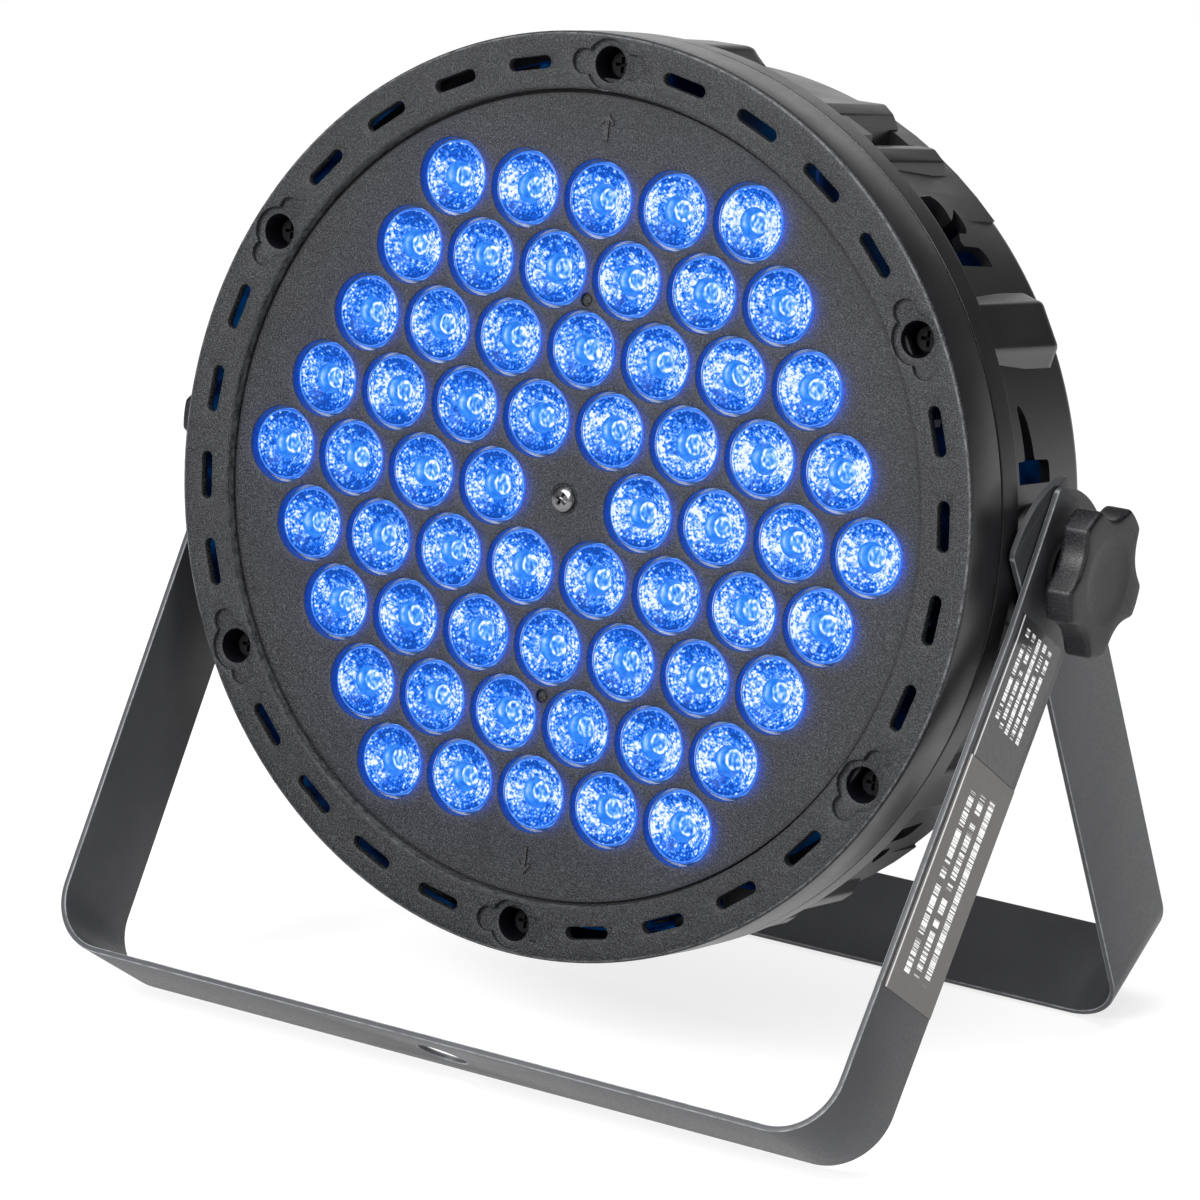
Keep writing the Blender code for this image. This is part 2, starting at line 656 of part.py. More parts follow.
def make_strap(name, parent, half_pivot, half_bar, length, top, hole):
    """Bent flat steel with arc-shaped ends, pivot holes and an optional hole in the bar."""
    half = STRAP_WIDTH / 2.0
    straight_top = top - 6.0
    outer = strap_path(half_pivot, half_bar, length, straight_top, 0.0)
    inner = strap_path(half_pivot, half_bar, length, straight_top, STRAP_THICKNESS)
    solid = bmesh.new()
    rows = []
    for (ox, oz), (ix, iz) in zip(outer, inner):
        rows.append([solid.verts.new(point) for point in
                     ((ox, -half, oz), (ox, half, oz), (ix, half, iz), (ix, -half, iz))])
    for near, far in zip(rows, rows[1:]):
        for index in range(4):
            after = (index + 1) % 4
            solid.faces.new((near[index], near[after], far[after], far[index]))
    for row, x_out, x_in in ((rows[0], outer[0][0], inner[0][0]), (rows[-1], outer[-1][0], inner[-1][0])):
        arc = []
        for y, drop in end_arc(half):
            arc.append((solid.verts.new((x_out, y, top - drop)), solid.verts.new((x_in, y, top - drop))))
        solid.faces.new([row[0]] + [pair[0] for pair in arc] + [row[1]])
        solid.faces.new([row[3]] + [pair[1] for pair in arc] + [row[2]])
        for (a_out, a_in), (b_out, b_in) in zip(arc, arc[1:]):
            solid.faces.new((a_out, b_out, b_in, a_in))
        solid.faces.new((row[0], arc[0][0], arc[0][1], row[3]))
        solid.faces.new((row[1], arc[-1][0], arc[-1][1], row[2]))
    bmesh.ops.recalc_face_normals(solid, faces=solid.faces)
    cuts = []
    for sign in (1.0, -1.0):
        cuts.append(lathe_x([(PIVOT_HOLE_RADIUS, sign * 110.0), (PIVOT_HOLE_RADIUS, sign * 125.0)], 16))
    if hole:
        drill = lathe([(MOUNT_HOLE_RADIUS, -4.0), (MOUNT_HOLE_RADIUS, 4.0)], 20)
        bmesh.ops.transform(drill, matrix=Matrix.Rotation(math.radians(90.0), 4, "X"), verts=drill.verts)
        cuts.append(moved(drill, (0.0, 0.0, -length + 0.75)))
    return part(name, solid, "graphite_paint", parent, cuts=cuts, smooth=False)


def end_arc(half):
    """Shallow arc of the strap's end with eased corners: (across, drop below the crown)."""
    points = []
    corner = 2.2
    for step in range(9):
        y = (half - corner) * (-1.0 + 2.0 * step / 8.0)
        points.append((y, END_ARC_RADIUS - math.sqrt(END_ARC_RADIUS ** 2 - y ** 2)))
    edge_drop = points[0][1]
    first = [(-half, edge_drop + 2.2), (-half + 0.6, edge_drop + 0.9)]
    last = [(half - 0.6, edge_drop + 0.9), (half, edge_drop + 2.2)]
    return first + points + last


def strap_point(distance, lift):
    """Point (x, z) on the right front arm this far below the pivot, lifted off the face."""
    knee = Vector((FRONT_HALF_PIVOT, -STRAIGHT_TO))
    if distance <= STRAIGHT_TO:
        return (FRONT_HALF_PIVOT + lift, -distance)
    along = (Vector((FRONT_HALF_BAR, -FRONT_LENGTH)) - knee).normalized()
    out = Vector((-along.y, along.x))
    point = knee + along * (distance - STRAIGHT_TO) + out * lift
    return (point.x, point.y)


def make_label(name, parent, slot, start, end, y0, y1):
    """Thin sticker that follows the outer face of the right front arm."""
    stations = [start] + [STRAIGHT_TO] * (start < STRAIGHT_TO < end) + [end]
    rings = []
    for distance in stations:
        low = strap_point(distance, 0.1)
        high = strap_point(distance, 0.3)
        rings.append([(low[0], y0, low[1]), (low[0], y1, low[1]),
                      (high[0], y1, high[1]), (high[0], y0, high[1])])
    return part(name, from_rings(rings), slot, parent, smooth=False)


# ------------------------------------------------------------------ pivot hardware
def knob_radius(angle):
    """Radius of the knob outline: lobes with flat tips between round flutes."""
    pitch = 2.0 * math.pi / KNOB_LOBES
    from_flute = pitch / 2.0 - abs((angle + pitch / 2.0) % pitch - pitch / 2.0)
    across = KNOB_FLUTE_REACH * math.sin(from_flute)
    if across >= KNOB_FLUTE_RADIUS:
        return KNOB_RADIUS
    hollow = KNOB_FLUTE_REACH * math.cos(from_flute) - math.sqrt(KNOB_FLUTE_RADIUS ** 2 - across ** 2)
    near = math.exp(-KNOB_RADIUS / KNOB_ROUNDING) + math.exp(-hollow / KNOB_ROUNDING)
    return -KNOB_ROUNDING * math.log(near)


def knob_ring(x, scale, lobe_angle, sign):
    """Star outline of the knob at a distance along the pivot axis."""
    ring = []
    count = KNOB_LOBES * KNOB_POINTS
    for step in range(count):
        angle = 2.0 * math.pi * step / count
        radius = scale * knob_radius(angle)
        turn = math.radians(lobe_angle) + angle
        ring.append((sign * x, -radius * math.cos(turn), radius * math.sin(turn)))
    return ring


def round_ring(x, radius, lobe_angle, sign):
    """Round ring with as many points as the star outline."""
    ring = []
    count = KNOB_LOBES * KNOB_POINTS
    for step in range(count):
        turn = math.radians(lobe_angle) + 2.0 * math.pi * step / count
        ring.append((sign * x, -radius * math.cos(turn), radius * math.sin(turn)))
    return ring


def make_knob(name, parent, sign, lobe_angle):
    """Star knob with a hub, a dished outer face and a blind bore for the stud."""
    rings = [
        round_ring(129.0, PIVOT_HOLE_RADIUS, lobe_angle, sign),
        round_ring(KNOB_HUB_START, PIVOT_HOLE_RADIUS, lobe_angle, sign),
        round_ring(KNOB_HUB_START, 8.0, lobe_angle, sign),
        round_ring(KNOB_LOBE_START - 0.3, 8.2, lobe_angle, sign),
        knob_ring(KNOB_LOBE_START, 0.93, lobe_angle, sign),
        knob_ring(KNOB_LOBE_START + 1.1, 1.0, lobe_angle, sign),
        knob_ring(KNOB_END - 0.7, 1.0, lobe_angle, sign),
        knob_ring(KNOB_END, 0.95, lobe_angle, sign),
        knob_ring(KNOB_END - 0.5, 0.55, lobe_angle, sign),
    ]
    return part(name, from_rings(rings), "knob_black", parent)


def ring_x(name, parent, sign, span, outer, inner, slot, segments=18):
    """Flat washer round the pivot axis."""
    near, far = sign * span[0], sign * span[1]
    solid = lathe_x([(outer, near), (outer, far), (inner, far), (inner, near)], segments, closed=True)
    return part(name, solid, slot, parent)


def make_pivot(side, sign, housing, front_yoke, knob_parent, lobe_angle):
    """Stud, nut, washers and knob of one side."""
    stud = lathe_x([(STUD_RADIUS - 0.5, sign * STUD_SPAN[0]), (STUD_RADIUS, sign * (STUD_SPAN[0] + 0.6)),
                    (STUD_RADIUS, sign * (STUD_SPAN[1] - 0.6)), (STUD_RADIUS - 0.5, sign * STUD_SPAN[1])], 12)
    part("stud_" + side, stud, "zinc_steel", housing)
    nut = lathe_x([(7.5, sign * NUT_SPAN[0]), (7.5, sign * NUT_SPAN[1])], 6)
    bore = lathe_x([(PIVOT_HOLE_RADIUS, sign * 90.0), (PIVOT_HOLE_RADIUS, sign * 110.0)], 16)
    part("pivot_nut_" + side, nut, "zinc_steel", housing, cuts=[bore], smooth=False)
    ring_x("friction_washer_" + side, housing, sign, FRICTION_WASHER_SPAN, 14.0, PIVOT_HOLE_RADIUS, "fibre")
    ring_x("washer_" + side, front_yoke, sign, STEEL_WASHER_SPAN, 9.0, PIVOT_HOLE_RADIUS, "zinc_steel")
    make_knob("knob_" + side, knob_parent, sign, lobe_angle)


# ------------------------------------------------------------------ rear panel
def make_dmx_socket(name, parent, centre, pins):
    """Three-pole round panel socket, with pins or with pin holes."""
    x, z = centre
    flange = prism(rounded_rectangle(x, z, 13.0, 15.5, 3.0), BACK_OUTER + 0.3, BACK_OUTER + 2.0)
    barrel = lathe([(11.1, BACK_OUTER + 1.0), (11.1, 8.0)], 18, centre)
    cuts = []
    adds = [barrel]
    places = [(x + 3.4, z + 3.0), (x - 3.4, z + 3.0), (x, z - 3.9)]
    if pins:
        cuts.append(lathe([(9.2, BACK_OUTER + 3.0), (9.2, BACK_OUTER - 14.0)], 16, centre))
    else:
        cuts.append(lathe([(9.2, BACK_OUTER + 3.0), (9.2, BACK_OUTER - 4.6)], 16, centre))
        for place in places:
            cuts.append(lathe([(1.35, BACK_OUTER - 3.0), (1.35, BACK_OUTER - 14.0)], 6, place))
    made = part(name, flange, "socket_black", parent, adds=adds)
    combine(made, cuts[:1], "DIFFERENCE")
    if pins:
        rods = [lathe([(1.2, BACK_OUTER - 4.4), (1.2, BACK_OUTER - 15.0)], 8, place) for place in places]
        combine(made, rods, "UNION")
    else:
        combine(made, cuts[1:], "DIFFERENCE")
    return finish(made, "socket_black", parent)


def rounded_rectangle(x, z, half_x, half_z, radius, steps=3):
    """Outline of a rectangle with rounded corners."""
    outline = []
    for sx, sz, first in ((1, 1, 0.0), (-1, 1, 90.0), (-1, -1, 180.0), (1, -1, 270.0)):
        for step in range(steps + 1):
            dx, dz = polar(radius, first + 90.0 * step / steps)
            outline.append((x + sx * (half_x - radius) + dx, z + sz * (half_z - radius) + dz))
    return outline


def make_inlet(parent):
    """Mains inlet: flange, shroud with two cut corners and three flat blades."""
    x, z = INLET_CENTRE
    flange = prism(rounded_rectangle(x, z, 25.0, 13.5, 5.0), BACK_OUTER + 0.3, BACK_OUTER + 2.4)
    body = box(x - 14.0, x + 14.0, 6.0, BACK_OUTER + 1.0, z - 10.5, z + 10.5)
    cavity_outline = [(x - 12.0, z - 8.0), (x + 12.0, z - 8.0), (x + 12.0, z + 3.0),
                      (x + 7.0, z + 8.0), (x - 7.0, z + 8.0), (x - 12.0, z + 3.0)]
    cavity = prism(cavity_outline, BACK_OUTER + 4.0, BACK_OUTER - 15.0)
    blades = []
    for bx, bz in ((x - 7.0, z - 2.6), (x + 7.0, z - 2.6), (x, z + 2.0)):
        blades.append(box(bx - 1.0, bx + 1.0, BACK_OUTER - 16.0, BACK_OUTER - 4.8, bz - 2.0, bz + 2.0))
    made = part("mains_inlet", flange, "socket_black", parent, adds=[body], cuts=[cavity])
    combine(made, blades, "UNION")
    return finish(made, "socket_black", parent)


def make_fuse(parent):
    """Fuse holder tube and its quarter-turn cap."""
    holder = lathe([(5.3, BACK_OUTER + 0.3), (8.6, BACK_OUTER + 0.3), (8.6, BACK_OUTER + 1.6),
                    (5.3, BACK_OUTER + 1.6)], 14, FUSE_CENTRE, closed=True)
    sleeve = lathe([(6.4, BACK_OUTER + 1.0), (6.4, 4.0), (5.3, 5.0), (5.3, BACK_OUTER + 0.9)],
                   14, FUSE_CENTRE, closed=True)
    part("fuse_holder", holder, "socket_black", parent, adds=[sleeve])
    cap = lathe([(4.9, 18.0), (4.9, BACK_OUTER + 2.0), (7.2, BACK_OUTER + 2.0), (7.2, BACK_OUTER + 4.6),
                 (6.4, BACK_OUTER + 5.2)], 14, FUSE_CENTRE)
    x, z = FUSE_CENTRE
    groove = [box(x - 5.0, x + 5.0, BACK_OUTER + 4.2, BACK_OUTER + 7.0, z - 0.7, z + 0.7)]
    part("fuse_cap", cap, "socket_black", parent, origin=(x, BACK_OUTER, z), cuts=groove)


def make_controls(parent):
    """Control board, display, window and the four menu buttons."""
    x0, x1, z0, z1 = CONTROL_BOARD
    board = box(x0, x1, 18.4, 20.0, z0, z1)
    switches = [box(x - 3.0, x + 3.0, 19.6, 22.9, BUTTON_Z - 3.0, BUTTON_Z + 3.0) for x in BUTTON_X]
    part("control_board", board, "board_green", parent, adds=switches, smooth=False)
    x, z = DISPLAY_CENTRE
    part("display_module", box(x - 19.0, x + 19.0, 20.3, 26.0, z - 7.0, z + 7.0), "socket_black", parent,
         smooth=False)
    part("display_window", box(x - 20.0, x + 20.0, 26.7, BACK_OUTER - 0.2, z - 8.0, z + 8.0), "display_tint",
         parent, smooth=False)
    for name, bx in zip(BUTTON_NAMES, BUTTON_X):
        cap = lathe([(4.7, 24.1), (4.7, 25.6), (3.5, 25.61),
                     (3.5, BACK_OUTER + 1.0), (3.0, BACK_OUTER + 1.4)],
                    14, (bx, BUTTON_Z))
        part(name, cap, "button_grey", parent, origin=(bx, BACK_OUTER, BUTTON_Z))


def make_fan(parent):
    """Square cooling fan behind the grille and its rotor."""
    x, z = FAN_CENTRE
    frame_solid = prism(rounded_rectangle(x, z, 30.0, 30.0, 3.0, 2), 15.0, 25.0)
    bore = lathe([(27.8, 10.0), (27.8, 30.0)], 28, FAN_CENTRE)
    made = part("fan_frame", frame_solid, "socket_black", parent, cuts=[bore])
    disc = [lathe([(11.0, 15.1), (11.0, 16.8)], 16, FAN_CENTRE)]
    struts = []
    for angle in (90.0, 210.0, 330.0):
        strut = turned(box(9.0, 29.0, 15.2, 16.6, -1.6, 1.6), angle)
        struts.append(moved(strut, (x, 0.0, z)))
    combine(made, disc, "UNION")
    combine(made, struts, "UNION")
    finish(made, "socket_black", parent)

    hub = lathe([(11.5, 17.3), (11.5, 23.4), (10.5, 24.4)], 24, FAN_CENTRE)
    blades = []
    for step in range(7):
        blade = box(9.5, 26.6, -0.6, 0.6, -4.4, 4.4)
        lean = Matrix.Rotation(math.radians(36.0), 4, "X")
        bmesh.ops.transform(blade, matrix=lean, verts=blade.verts)
        blades.append(moved(turned(blade, 360.0 * step / 7.0), (x, 20.8, z)))
    part("fan_rotor", hub, "socket_black", parent, origin=(x, 20.8, z), adds=blades)


def make_electronics(parent):
    """Power supply, LED driver and the leads that run up behind the bezel slots."""
    x0, x1, z0, z1 = POWER_BOARD
    part("power_board", box(x0, x1, -7.6, -6.0, z0, z1), "board_green", parent, smooth=False)
    part("power_transformer", box(-72.0, -50.0, -5.7, 12.0, 16.0, 36.0), "copper_tape", parent, smooth=False)
    part("power_capacitor", lathe([(6.5, -5.7), (6.5, 14.0), (5.8, 15.0)], 20, (-57.0, 1.0)),
         "capacitor_sleeve", parent)
    x0, x1, z0, z1 = DRIVER_BOARD
    chips = [box(44.0, 54.0, -6.4, -4.2, 8.0, 18.0), box(60.0, 70.0, -6.4, 0.0, 22.0, 32.0)]
    part("driver_board", box(x0, x1, -7.6, -6.0, z0, z1), "board_green", parent, adds=chips, smooth=False)
    for name, slot, depth, end_x, steps in (("lead_supply", "wire_blue", -21.5, 50.0, 12),
                                            ("lead_return", "wire_black", -18.6, 57.0, 8)):
        path = []
        for step in range(steps):
            x, z = polar(103.2, 36.0 + 2.0 * step)
            path.append((x, depth, z))
        last = 34.0 + 2.0 * steps
        for radius, angle, y in ((102.6, last + 3.0, -13.5), (99.0, last + 4.5, -11.0)):
            x, z = polar(radius, angle)
            path.append((x, y, z))
        path.append((end_x, -10.2, 60.0))
        path.append((end_x, -8.9, 43.0))
        part(name, tube(path, 0.9), slot, parent)


# ------------------------------------------------------------------ assembly
def main():
    """Clear the file and build every piece."""
    for old in list(bpy.data.objects):
        bpy.data.objects.remove(old)

    lean = math.radians(FRONT_LEAN_DEG)
    half = STRAP_WIDTH / 2.0
    pivot_height = FRONT_LENGTH * math.cos(lean) + half * math.sin(lean)
    front_reach = FRONT_LENGTH * math.sin(lean) + half * math.cos(lean)
    offset = math.atan2(half, REAR_LENGTH)
    rear_lean = offset + math.acos(pivot_height / math.hypot(half, REAR_LENGTH))
    rear_reach = REAR_LENGTH * math.sin(rear_lean) + half * math.cos(rear_lean)
    pivot = (0.0, (front_reach - rear_reach) / 2.0, pivot_height)

    housing = frame("housing_frame", None, pivot, -TILT_DEG)
    front_yoke = frame("front_yoke_frame", None, pivot, -FRONT_LEAN_DEG)
    rear_yoke = frame("rear_yoke_frame", None, pivot, math.degrees(rear_lean))
    knob_frame = frame("knob_frame", None, pivot, -TILT_DEG)

    make_bezel(housing)
    make_lens_plate(housing)
    make_lens_array(housing)
    make_light_engine(housing)
    screw("centre_screw", (0.0, 0.0), -38.8, 0.9, 3.35, -20.0, "dark_screw", housing)
    for index, angle in enumerate(SCREW_ANGLES):
        screw("bezel_screw_%d" % (index + 1), polar(SCREW_CIRCLE, angle), -33.0, 2.7, 3.6, -11.0,
              "dark_screw", housing)
    make_housing(housing)
    make_electronics(housing)
    make_fan(housing)
    make_controls(housing)
    make_dmx_socket("dmx_in", housing, DMX_IN_CENTRE, True)
    make_dmx_socket("dmx_out", housing, DMX_OUT_CENTRE, False)
    make_inlet(housing)
    make_fuse(housing)

    make_strap("front_yoke", front_yoke, FRONT_HALF_PIVOT, FRONT_HALF_BAR, FRONT_LENGTH, FRONT_TOP, True)
    make_strap("rear_yoke", rear_yoke, REAR_HALF_PIVOT, REAR_HALF_BAR, REAR_LENGTH, REAR_TOP, False)
    make_label("label_upper", front_yoke, "label_dark", 15.5, 51.8, -12.7, 12.5)
    make_label("label_lower", front_yoke, "label_brown", 52.1, 111.3, -13.7, 14.6)
    make_pivot("right", 1.0, housing, front_yoke, knob_frame, 55.0)
    make_pivot("left", -1.0, housing, front_yoke, knob_frame, 0.0)


main()
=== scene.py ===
"""Looks of the LED par can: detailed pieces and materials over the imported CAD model."""
import json
import math

import bmesh
import bpy
from mathutils import Matrix, Vector
from mathutils.geometry import delaunay_2d_cdt
from mathutils.noise import noise as smooth_noise


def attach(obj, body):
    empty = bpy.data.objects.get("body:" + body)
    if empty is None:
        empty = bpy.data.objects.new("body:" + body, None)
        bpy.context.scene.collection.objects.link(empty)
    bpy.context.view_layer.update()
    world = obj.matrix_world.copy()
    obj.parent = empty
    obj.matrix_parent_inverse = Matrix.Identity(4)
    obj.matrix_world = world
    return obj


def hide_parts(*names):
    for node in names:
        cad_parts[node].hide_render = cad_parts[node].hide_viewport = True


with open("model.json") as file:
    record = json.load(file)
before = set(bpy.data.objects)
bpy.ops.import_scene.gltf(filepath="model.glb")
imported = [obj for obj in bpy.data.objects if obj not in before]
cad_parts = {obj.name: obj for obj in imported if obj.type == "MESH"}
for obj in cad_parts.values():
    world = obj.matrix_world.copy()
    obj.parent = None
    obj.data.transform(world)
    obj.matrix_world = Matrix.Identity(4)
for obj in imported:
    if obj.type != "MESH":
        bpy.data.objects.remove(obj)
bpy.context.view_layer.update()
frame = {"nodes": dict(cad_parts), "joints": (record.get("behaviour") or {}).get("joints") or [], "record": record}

nodes = frame["nodes"]

# ------------------------------------------------------------------ frames
MM = 0.001
JOINTS = {joint["name"]: joint for joint in frame["joints"]}
PIVOT = Vector(JOINTS["front_yoke_hinge"]["pos_m"])
TILT = math.radians(-7.8)
FRONT_LEAN = math.radians(-33.0)
REAR_LEAN = math.radians(31.124)
SCALE = Matrix.Diagonal((MM, MM, MM, 1.0))
HOUSING = Matrix.Translation(PIVOT) @ Matrix.Rotation(TILT, 4, "X") @ SCALE
FRONT_YOKE = Matrix.Translation(PIVOT) @ Matrix.Rotation(FRONT_LEAN, 4, "X") @ SCALE
REAR_YOKE = Matrix.Translation(PIVOT) @ Matrix.Rotation(REAR_LEAN, 4, "X") @ SCALE

# ------------------------------------------------------------------ sizes (mm, housing frame)
PITCH = 21.5
PLATE_FRONT = -37.6
PLATE_BACK = -34.8
HOLE_RADIUS = 9.8
LENS_RADIUS = 9.05
LENS_FACE = -36.0
EYE_RADIUS = 3.9
EYE_EDGE = -34.7
EYE_FLOOR = -32.1
RING_INNER = 101.0
RING_FRONT = -40.1
SCREW_CIRCLE = 107.5
SCREW_ANGLES = [30.0 + 60.0 * step for step in range(6)]
SEAM = -25.1
STRAP_HALF = 15.0
STRAP_THICK = 1.5
HANG_RADIUS = 6.5


# ------------------------------------------------------------------ node helpers
class Shader:
    """A material with a Principled shader and short ways to add nodes."""

    def __init__(self, name, colour, roughness, metallic=0.0, **sockets):
        self.material = bpy.data.materials.new(name)
        self.material.use_nodes = True
        self.tree = self.material.node_tree
        self.principled = self.tree.nodes["Principled BSDF"]
        self.set("Base Color", (*colour, 1.0))
        self.set("Roughness", roughness)
        self.set("Metallic", metallic)
        for key, value in sockets.items():
            self.set(key.replace("_", " "), value)
        self.coords = self.node("TexCoord").outputs["Object"]

    def set(self, socket, value):
        self.principled.inputs[socket].default_value = value

    def node(self, kind, **settings):
        made = self.tree.nodes.new("ShaderNode" + kind)
        for key, value in settings.items():
            setattr(made, key, value)
        return made

    def link(self, output, target):
        if isinstance(target, str):
            target = self.principled.inputs[target]
        self.tree.links.new(output, target)

    def noise(self, scale, detail=2.0, roughness=0.5, coords=None, stretch=None):
        made = self.node("TexNoise")
        made.inputs["Scale"].default_value = scale
        made.inputs["Detail"].default_value = detail
        made.inputs["Roughness"].default_value = roughness
        source = coords or self.coords
        if stretch:
            mapping = self.node("Mapping")
            mapping.inputs["Scale"].default_value = stretch
            self.link(source, mapping.inputs["Vector"])
            source = mapping.outputs["Vector"]
        self.link(source, made.inputs["Vector"])
        return made.outputs["Fac"]

    def ramp(self, source, stops, ease=False):
        made = self.node("ValToRGB")
        if ease:
            made.color_ramp.interpolation = "EASE"
        elements = made.color_ramp.elements
        while len(elements) > 1:
            elements.remove(elements[-1])
        elements[0].position = stops[0][0]
        elements[0].color = colour4(stops[0][1])
        for position, value in stops[1:]:
            elements.new(position).color = colour4(value)
        self.link(source, made.inputs["Fac"])
        return made.outputs["Color"]

    def map(self, source, low, high, to_low, to_high):
        made = self.node("MapRange", clamp=True)
        for key, value in zip(("From Min", "From Max", "To Min", "To Max"), (low, high, to_low, to_high)):
            made.inputs[key].default_value = value
        self.link(source, made.inputs["Value"])
        return made.outputs["Result"]

    def math(self, operation, first, second):
        made = self.node("Math", operation=operation)
        for socket, value in zip(made.inputs, (first, second)):
            if isinstance(value, (int, float)):
                socket.default_value = value
            else:
                self.link(value, socket)
        return made.outputs["Value"]

    def mix(self, factor, first, second, blend="MIX"):
        made = self.node("Mix", data_type="RGBA", blend_type=blend)
        for socket, value in zip((made.inputs[0], made.inputs[6], made.inputs[7]), (factor, first, second)):
            if isinstance(value, (int, float)):
                socket.default_value = value
            elif isinstance(value, tuple):
                socket.default_value = colour4(value)
            else:
                self.link(value, socket)
        return made.outputs[2]

    def attribute(self, name):
        return self.node("Attribute", attribute_name=name).outputs["Fac"]

    def bump(self, height, distance, strength=1.0, under=None):
        made = self.node("Bump")
        made.inputs["Strength"].default_value = strength
        made.inputs["Distance"].default_value = distance
        self.link(height, made.inputs["Height"])
        if under is not None:
            self.link(under, made.inputs["Normal"])
        return made.outputs["Normal"]


def colour4(value):
    """A colour with alpha from a grey or an RGB triple."""
    if isinstance(value, (int, float)):
        return (value, value, value, 1.0)
    return (*value[:3], 1.0)


# ------------------------------------------------------------------ materials
def grained_plastic(name, low, high, roughness, grain=2500.0, depth=0.00022, strength=0.85):
    """Moulded black plastic with a fine spark-eroded grain."""
    shader = Shader(name, high, roughness, Specular_IOR_Level=0.30)
    fine = shader.noise(grain, 3.0, 0.62)
    broad = shader.noise(42.0, 3.0, 0.55)
    grey = shader.ramp(fine, [(0.43, low), (0.53, tuple((a + b) / 2.8 for a, b in zip(low, high))),
                              (0.64, high)])
    patch = shader.map(broad, 0.35, 0.65, 0.86, 1.12)
    body = shader.mix(1.0, grey, patch, "MULTIPLY")
    # painted shade: marked steps, dimples and arrow feet are darkened to near-black
    body = shader.mix(shader.attribute("painted_groove_shade"), body, (0.0015, 0.0015, 0.002))
    # painted highlight: marked rims and walls are lightened towards grey
    painted_edge_highlight = shader.math("MULTIPLY", shader.attribute("edge"),
                         shader.map(shader.noise(420.0, 4.0, 0.7), 0.38, 0.62, 0.15, 1.0))
    shader.link(shader.mix(painted_edge_highlight, body, (0.15, 0.155, 0.165)), "Base Color")
    shader.link(shader.map(fine, 0.3, 0.7, roughness - 0.10, roughness + 0.12), "Roughness")
    shader.link(shader.bump(fine, depth, strength), "Normal")
    return shader


def satin_plastic(name, colour, roughness, depth=0.00002):
    """Smoother moulded plastic with slight flow marks, and a painted highlight on edges marked by the edge
    attribute.
    """
    shader = Shader(name, colour, roughness, Specular_IOR_Level=0.5)
    fine = shader.noise(1900.0, 2.0, 0.6)
    flow = shader.noise(60.0, 4.0, 0.6, stretch=(1.0, 0.3, 1.0))
    dark = tuple(value * 0.75 for value in colour)
    light = tuple(value * 1.35 for value in colour)
    body = shader.ramp(flow, [(0.3, dark), (0.7, light)])
    painted_edge_highlight = shader.math("MULTIPLY", shader.attribute("edge"), shader.map(flow, 0.3, 0.6, 0.5, 1.0))
    shader.link(shader.mix(painted_edge_highlight, body, (0.20, 0.205, 0.215)), "Base Color")
    mixed = shader.math("ADD", shader.math("MULTIPLY", fine, 0.4), shader.math("MULTIPLY", flow, 0.6))
    shader.link(shader.map(mixed, 0.3, 0.7, roughness - 0.07, roughness + 0.10), "Roughness")
    shader.link(shader.bump(fine, depth, 0.35), "Normal")
    return shader


def worn_metal(name, colour, roughness, metallic=1.0, grain=1500.0, stretch=(1.0, 1.0, 1.0)):
    """Bare or plated metal with fine scratches."""
    shader = Shader(name, colour, roughness, metallic)
    scratch = shader.noise(grain, 4.0, 0.7, stretch=stretch)
    cloud = shader.noise(120.0, 3.0, 0.5)
    dark = tuple(value * 0.72 for value in colour)
    shader.link(shader.ramp(cloud, [(0.3, dark), (0.7, colour)]), "Base Color")
    shader.link(shader.map(scratch, 0.3, 0.7, roughness * 0.75, roughness * 1.3), "Roughness")
    shader.link(shader.bump(scratch, 0.00002, 0.3), "Normal")
    return shader


def powder_coat(name):
    """Satin graphite powder coat with a fine orange peel, lighter on worn edges."""
    shader = Shader(name, (0.10, 0.105, 0.11), 0.42, 0.0, Specular_IOR_Level=0.25)
    peel = shader.noise(1400.0, 3.0, 0.55)
    cloud = shader.noise(30.0, 4.0, 0.6)
    colour = shader.ramp(cloud, [(0.3, (0.032, 0.033, 0.036)), (0.7, (0.047, 0.048, 0.052))])
    wear = shader.attribute("edge")
    scuff = shader.noise(260.0, 4.0, 0.7)
    amount = shader.math("MULTIPLY", wear, shader.map(scuff, 0.35, 0.60, 0.35, 1.0))
    shader.link(shader.mix(amount, colour, (0.22, 0.225, 0.24)), "Base Color")
    shader.link(shader.map(peel, 0.3, 0.7, 0.36, 0.50), "Roughness")
    shader.link(shader.bump(peel, 0.00003, 0.35), "Normal")
    return shader


